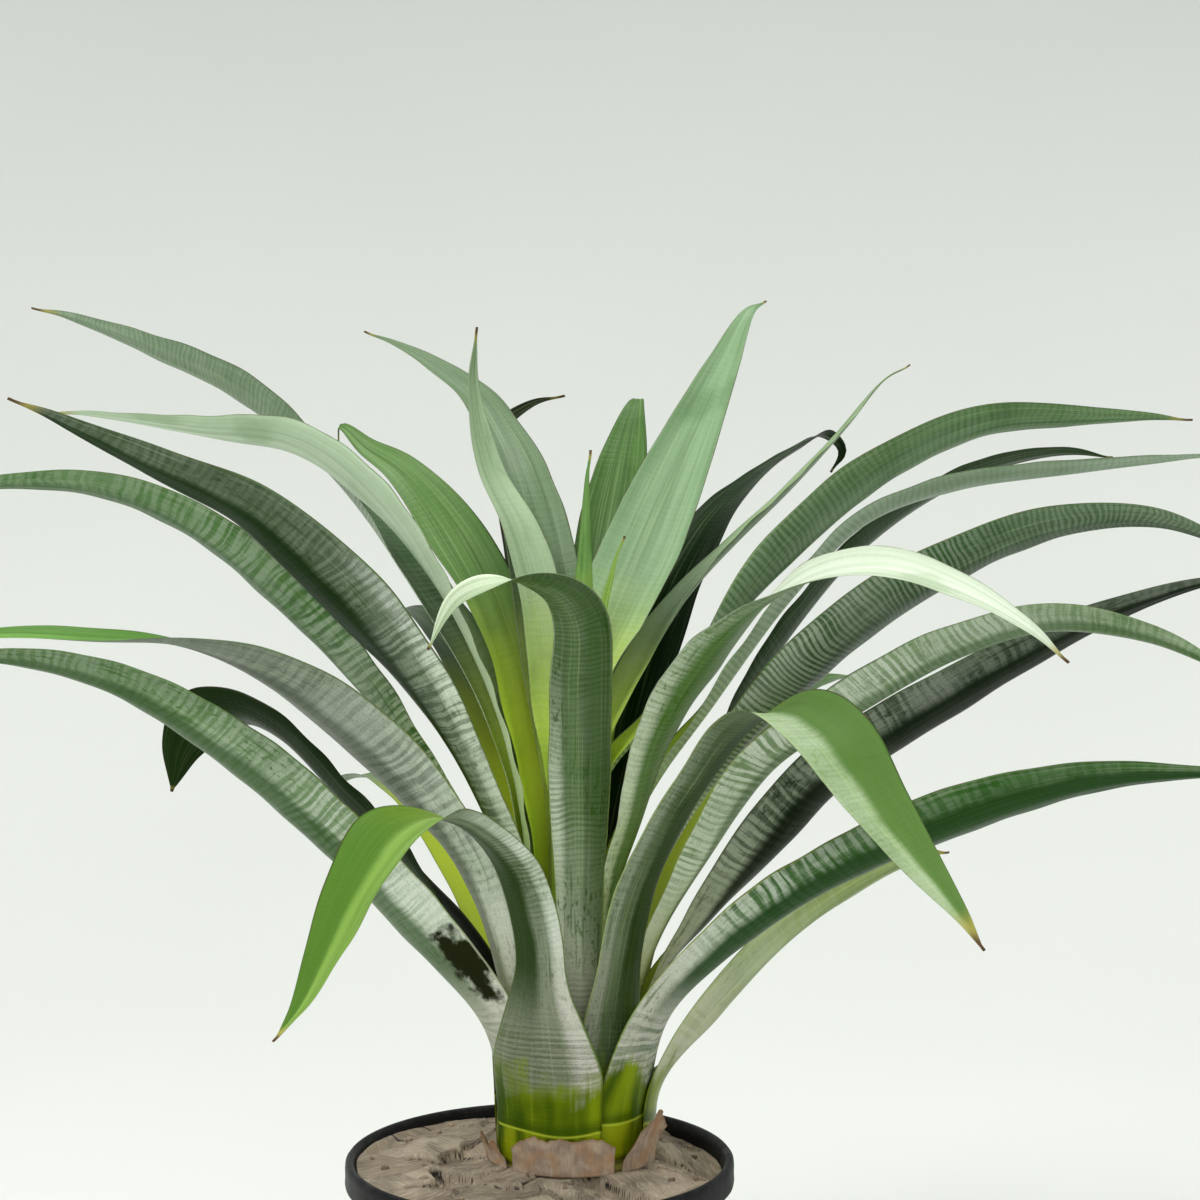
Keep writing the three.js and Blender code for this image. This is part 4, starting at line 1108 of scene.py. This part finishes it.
def chip_shape(rng, length, width, thick):
    """one broken chip of bark: an angular slab with a split, uneven outline"""
    corners = rng.randint(7, 10)
    outline = []
    for i in range(corners):
        a = (i + rng.uniform(-0.3, 0.3)) * TURN / corners
        grow = rng.uniform(0.72, 1.08)
        outline.append((0.5 * length * grow * math.cos(a), 0.5 * width * grow * math.sin(a)))
    points = []
    for level, size in CHIP_SECTIONS:
        for px, py in outline:
            points.append((px * size + rng.uniform(-0.3, 0.3), py * size + rng.uniform(-0.3, 0.3),
                           level * thick + rng.uniform(-0.12, 0.12) * thick))
    faces = ring_faces(len(CHIP_SECTIONS), corners)
    faces.append(tuple(range(corners))[::-1])
    faces.append(tuple(range(len(points) - corners, len(points))))
    return np.array(points), faces


def chip_size(rng, big):
    """(length, width, thickness) of a chip or of a crumb"""
    length = rng.uniform(8, 15) if big else rng.uniform(2, 6)
    width = length * rng.uniform(0.45, 0.8)
    return length, width, rng.uniform(1.6, 3.4) if big else rng.uniform(1.2, 2.4)


def build_chips(top):
    """bark chips and crumbs lying on the mound, half sunk in it"""
    rng = random.Random(SEED + 200)
    ring = np.arange(len(top)) // SOIL_FACETS
    spots = top[(ring >= CHIP_FIRST_RING) & (ring < CHIP_END_RING)]
    points, faces, data, first = [], [], [], 0
    for i in range(CHIP_COUNT):
        spot = spots[rng.randrange(len(spots))]
        length, width, thick = chip_size(rng, i < CHIP_COUNT * BIG_CHIP_SHARE)
        from_plant = math.hypot(spot[0] - PLANT_X, spot[1] - PLANT_Y)
        over_rim = math.hypot(spot[0], spot[1]) + 0.5 * length > CHIP_OUTER_REACH
        if over_rim or from_plant - 0.5 * length < CHIP_INNER_REACH:
            continue
        shape, loops = chip_shape(rng, length, width, thick)
        turn, lean, roll = rng.uniform(0, TURN), rng.gauss(0, CHIP_LEAN), rng.gauss(0, CHIP_LEAN)
        cos, sin = math.cos(turn), math.sin(turn)
        x, y, z = shape.T
        placed = np.stack([x * cos - y * sin, x * sin + y * cos, z + x * lean + y * roll + 0.25 * thick], -1)
        points.append(placed + spot)
        faces += [tuple(first + k for k in loop) for loop in loops]
        data.append(np.column_stack([np.full(len(shape), rng.random()), x * MM]))
        first += len(shape)
    maps = {CHIP_MAP: np.vstack(data)}
    made = mesh_object("bark_chips", np.vstack(points), faces, chip_material(), maps)
    bevel = made.modifiers.new("soften", "BEVEL")
    bevel.width = CHIP_ROUNDING * MM
    bevel.segments = 2
    bevel.limit_method = "ANGLE"
    apply_modifiers(made)
    attach(made, "potting_soil")


def chip_material():
    s = Shader("bark_chip")
    tone, _ = s.uv(CHIP_MAP)
    place = s.place()
    x, y, z = s.split(place)
    fibres = s.noise((x * 420, y * 420, z * 1600), 1, 4)
    grain = s.noise(place, 800, 3)
    colour = s.layers(
        s.mix(tone, (112, 94, 78), (182, 162, 138)),
        (fibres, 0.45, 0.68, 0.6, (74, 58, 46)),
        (grain, 0.56, 0.7, 0.6, (198, 178, 148)))
    return s.finish(colour, s.ramp(grain, 0.3, 0.7, 0.7, 0.95), s.bump(fibres + grain * 0.5, 0.0009, 0.7))


# ---------------------------------------------------------------- stem
STEM_ROWS = 40
STEM_COLUMNS = 120
STEM_SETBACK = (LEAF_THICKNESS / 2 + 0.7) * STEM_SLOPE + SEAT_GAP  # its cone lies this far under the leaves
CONE_FOOT_RADIUS = 41.4
CONE_TOP_RADIUS = 3
SCAR_DEPTH = 0.35
SCAR_ROWS = 4  # from one leaf scar to the next
STEM_FOOT_PROFILE = (  # (radius, height over the soil)
    (0, -45.6), (28, -45.6), (33, -39), (33.6, -20), (33.8, -2), (34.2, 0.2), (38, 0.35), (41, 0.4),
    (41.8, 0.5),
)


def cone(radius):
    """height of the stem's cone over the soil"""
    return OUTER_FOOT_HEIGHT + (OUTER_WHORL_RADIUS - radius) * STEM_SLOPE - STEM_SETBACK


def build_stem():
    """the short stem under the rosette, ringed with the scars of shed leaves"""
    profile = [*STEM_FOOT_PROFILE, (41.7, cone(41.8))]
    for i in range(STEM_ROWS):
        r = lerp(CONE_FOOT_RADIUS, CONE_TOP_RADIUS, (i + 1) / STEM_ROWS)
        scar = SCAR_DEPTH * (1 - abs((i % SCAR_ROWS) - 2) / 2)
        profile.append((r, cone(r) - scar))
    profile.append((0, cone(CONE_TOP_RADIUS) + 1))
    angles = round_angles(STEM_COLUMNS)
    points = []
    for r, z in profile:
        wobble = 1 - 0.004 * (1 + np.sin(9 * angles + z))
        points.append(circle(r * wobble, angles, SOIL_LEVEL + z, PLANT_X, PLANT_Y))
    faces = ring_faces(len(profile), STEM_COLUMNS)
    made = mesh_object("stem_core", np.vstack(points), faces, stem_material())
    weld(made)
    attach(made, "stem")


def stem_material():
    s = Shader("stem_tissue")
    place = s.place()
    x, y, z = s.split(place)
    rings = s.noise((x * 60, y * 60, z * 700), 1, 3)
    patches = s.noise(place, 90, 3)
    colour = s.layers((108, 112, 30), (rings, 0.4, 0.6, 1.0, (150, 142, 60)),
                      (patches, 0.48, 0.6, 1.0, (110, 78, 44)))
    return s.finish(colour, s.ramp(patches, 0.4, 0.6, 0.5, 0.85), s.bump(rings, 0.0008, 0.6))


# ---------------------------------------------------------------- dry sheaths
DRY_FOOT_RADIUS = 45
DRY_FOOT_GAP = 0.4  # above the soil
DRY_HALF_THICKNESS = 0.35
DRY_MAP = "dry"  # metres round the stem, share of the height
DRY_COLUMNS = 110
DRY_ROWS = 22
DRY_SHEATHS = (  # span: azimuths. edge: heights of the torn edge. lean: of the edge, outwards
    dict(name="dry_sheath_front", span=(228, 298), edge=(13, 18, 20, 19, 20, 19, 20, 19, 15), lean=1.3),
    dict(name="dry_sheath_right", span=(304, 338), edge=(13, 22, 26, 30, 20), lean=7),
    dict(name="dry_sheath_left", span=(168, 222), edge=(6, 11, 9, 13, 10, 14, 8), lean=3),
    dict(name="dry_sheath_back", span=(62, 122), edge=(5, 9, 12, 8, 11, 7), lean=4),
)


def dry_side(sheath, rng_seed, offset):
    """one face of a papery remnant, a row of points for each column from its foot to its torn edge"""
    rng = random.Random(rng_seed)
    creases = waves(rng, 5, 0.05, 0.22)
    tears = waves(rng, 5, 0.07, 0.3)
    fray = waves(rng, 6, 0.012, 0.03)
    stations = list(zip(np.linspace(0, 1, len(sheath["edge"])), sheath["edge"]))
    share = np.arange(DRY_ROWS) / (DRY_ROWS - 1)
    points, uv = [], []
    for i in range(DRY_COLUMNS):
        t = i / (DRY_COLUMNS - 1)
        azimuth = math.radians(lerp(*sheath["span"], t))
        top = at_station(stations, t) + 0.9 * sum_of(tears, t) + 0.45 * sum_of(fray, t) - DRY_FOOT_GAP
        radius = DRY_FOOT_RADIUS + sheath["lean"] * share ** 2.2
        radius += 0.75 * sum_of(creases, t) * share ** 0.6 + offset * (1 - 0.6 * share)
        height = SOIL_LEVEL + DRY_FOOT_GAP + top * share
        points.append(circle(radius, azimuth, height, PLANT_X, PLANT_Y))
        uv.append(np.column_stack([np.full(DRY_ROWS, azimuth * DRY_FOOT_RADIUS * MM), share]))
    return np.array(points), np.array(uv)


def build_dry_sheath(sheath, index):
    """rings of points up the outer face and down the inner one, closed at both ends"""
    name = sheath["name"]
    sides = [dry_side(sheath, SEED + 300 + index, k * DRY_HALF_THICKNESS) for k in (1, -1)]
    points, uv = [np.hstack([outer, inner[:, ::-1]]) for outer, inner in zip(*sides)]
    size = 2 * DRY_ROWS
    faces = [face[::-1] for face in ring_faces(DRY_COLUMNS, size)]
    faces += end_cap(0, size, False, shared=False)
    faces += end_cap((DRY_COLUMNS - 1) * size, size, True, shared=False)
    maps = {DRY_MAP: uv.reshape(-1, 2)}
    made = mesh_object(name + "_paper", points.reshape(-1, 3), faces, dry_material(name), maps)
    attach(made, name)


def dry_material(name):
    s = Shader(name)
    round_stem, share = s.uv(DRY_MAP)
    fibres = s.noise((round_stem * 900, share * 2.2, 0.0), detail=4)
    blotches = s.noise(s.place(), 150, 4)
    warm = s.noise((round_stem * 75, share * 1.4, 5.0))
    colour = s.layers(
        (182, 162, 142),
        (blotches, 0.35, 0.65, 1.0, (150, 130, 116)),
        (fibres, 0.5, 0.74, 0.4, (214, 196, 170)),
        (fibres, 0.42, 0.28, 0.4, (116, 90, 74)),
        (warm, 0.46, 0.66, 0.5, (180, 130, 82)),
        (share, 0.9, 1.0, 0.6, (136, 92, 48)))
    return s.finish(colour, s.ramp(fibres, 0.3, 0.7, 0.55, 0.85), s.bump(fibres, 0.0004, 0.5), 0.3)


# ---------------------------------------------------------------- stage, light and camera, metres
CAMERA_PLACE = (0.031, -1.276, 0.560)
CAMERA_PITCH = 4.2  # degrees below the horizon
LENS = 75.72
SENSOR = 36
STAGE_FLAT_RADIUS = 1.0
STAGE_RADIUS = 4.6
STAGE_RISE = 0.3  # of the bowl, for each square metre outwards
STAGE_RINGS = 36
STAGE_FACETS = 96
STAGE_DARK = (0.72, 0.74, 0.72, 1)
STAGE_LIGHT = (0.77, 0.79, 0.77, 1)
SKY_COLOUR = (0.98, 1.0, 0.98, 1)
SKY_STRENGTH = 0.68
LIGHTS = (  # name, place, what it points at, diameter, watts, colour
    ("key", (-0.9, -1.1, 2.3), (0.02, 0.0, 0.38), 1.0, 27, (1.0, 0.985, 0.95)),
    ("top", (0.3, 0.5, 2.6), (0.02, 0.0, 0.38), 1.2, 27, (1.0, 1.0, 0.96)),
    ("front_fill", (0.5, -2.4, 1.2), (0.02, 0.0, 0.3), 1.4, 7, (1.0, 1.0, 0.97)),
)


def build_stage():
    """a plain pale floor that turns up softly into its own backdrop all the way round"""
    angles = round_angles(STAGE_FACETS)
    rings = [np.zeros((1, 3))]
    for radius in np.linspace(STAGE_FLAT_RADIUS, STAGE_RADIUS, STAGE_RINGS):
        rings.append(circle(radius, angles, STAGE_RISE * (radius - STAGE_FLAT_RADIUS) ** 2))
    faces = [(0, 1 + k, 1 + (k + 1) % STAGE_FACETS) for k in range(STAGE_FACETS)]
    faces += [face[::-1] for face in ring_faces(STAGE_RINGS, STAGE_FACETS, 1)]
    s = Shader("studio_floor")
    colour = s.mix(s.noise(s.place(), 1.5), STAGE_DARK, STAGE_LIGHT)
    floor = mesh_object("studio_floor", np.vstack(rings) / MM, faces, s.finish(colour, 0.9))


def area_light(name, place, target, size, power, colour):
    data = bpy.data.lights.new(name, "AREA")
    data.shape = "DISK"
    data.size = size
    data.energy = power
    data.color = colour
    made = add_to_scene(name, data)
    made.location = place
    towards = Vector(target) - Vector(place)
    made.rotation_euler = towards.to_track_quat("-Z", "Y").to_euler()


def light_scene():
    world = bpy.data.worlds.new("studio")
    world.use_nodes = True
    sky = world.node_tree.nodes["Background"]
    sky.inputs["Color"].default_value = SKY_COLOUR
    sky.inputs["Strength"].default_value = SKY_STRENGTH
    bpy.context.scene.world = world
    for light in LIGHTS:
        area_light(*light)


def place_camera():
    data = bpy.data.cameras.new("camera")
    data.lens = LENS
    data.sensor_width = SENSOR
    camera = add_to_scene("camera", data)
    camera.location = CAMERA_PLACE
    camera.rotation_euler = (math.radians(90 - CAMERA_PITCH), 0, 0)
    bpy.context.scene.camera = camera


# ---------------------------------------------------------------- the whole plant in its pot
place_camera()
build_stage()
light_scene()
build_pot()
build_chips(build_soil())
build_stem()
for number, sheath in enumerate(DRY_SHEATHS):
    build_dry_sheath(sheath, number)
for number, leaf in enumerate(LEAVES):
    build_leaf(leaf, number)

bpy.context.scene.view_settings.view_transform = "Standard"
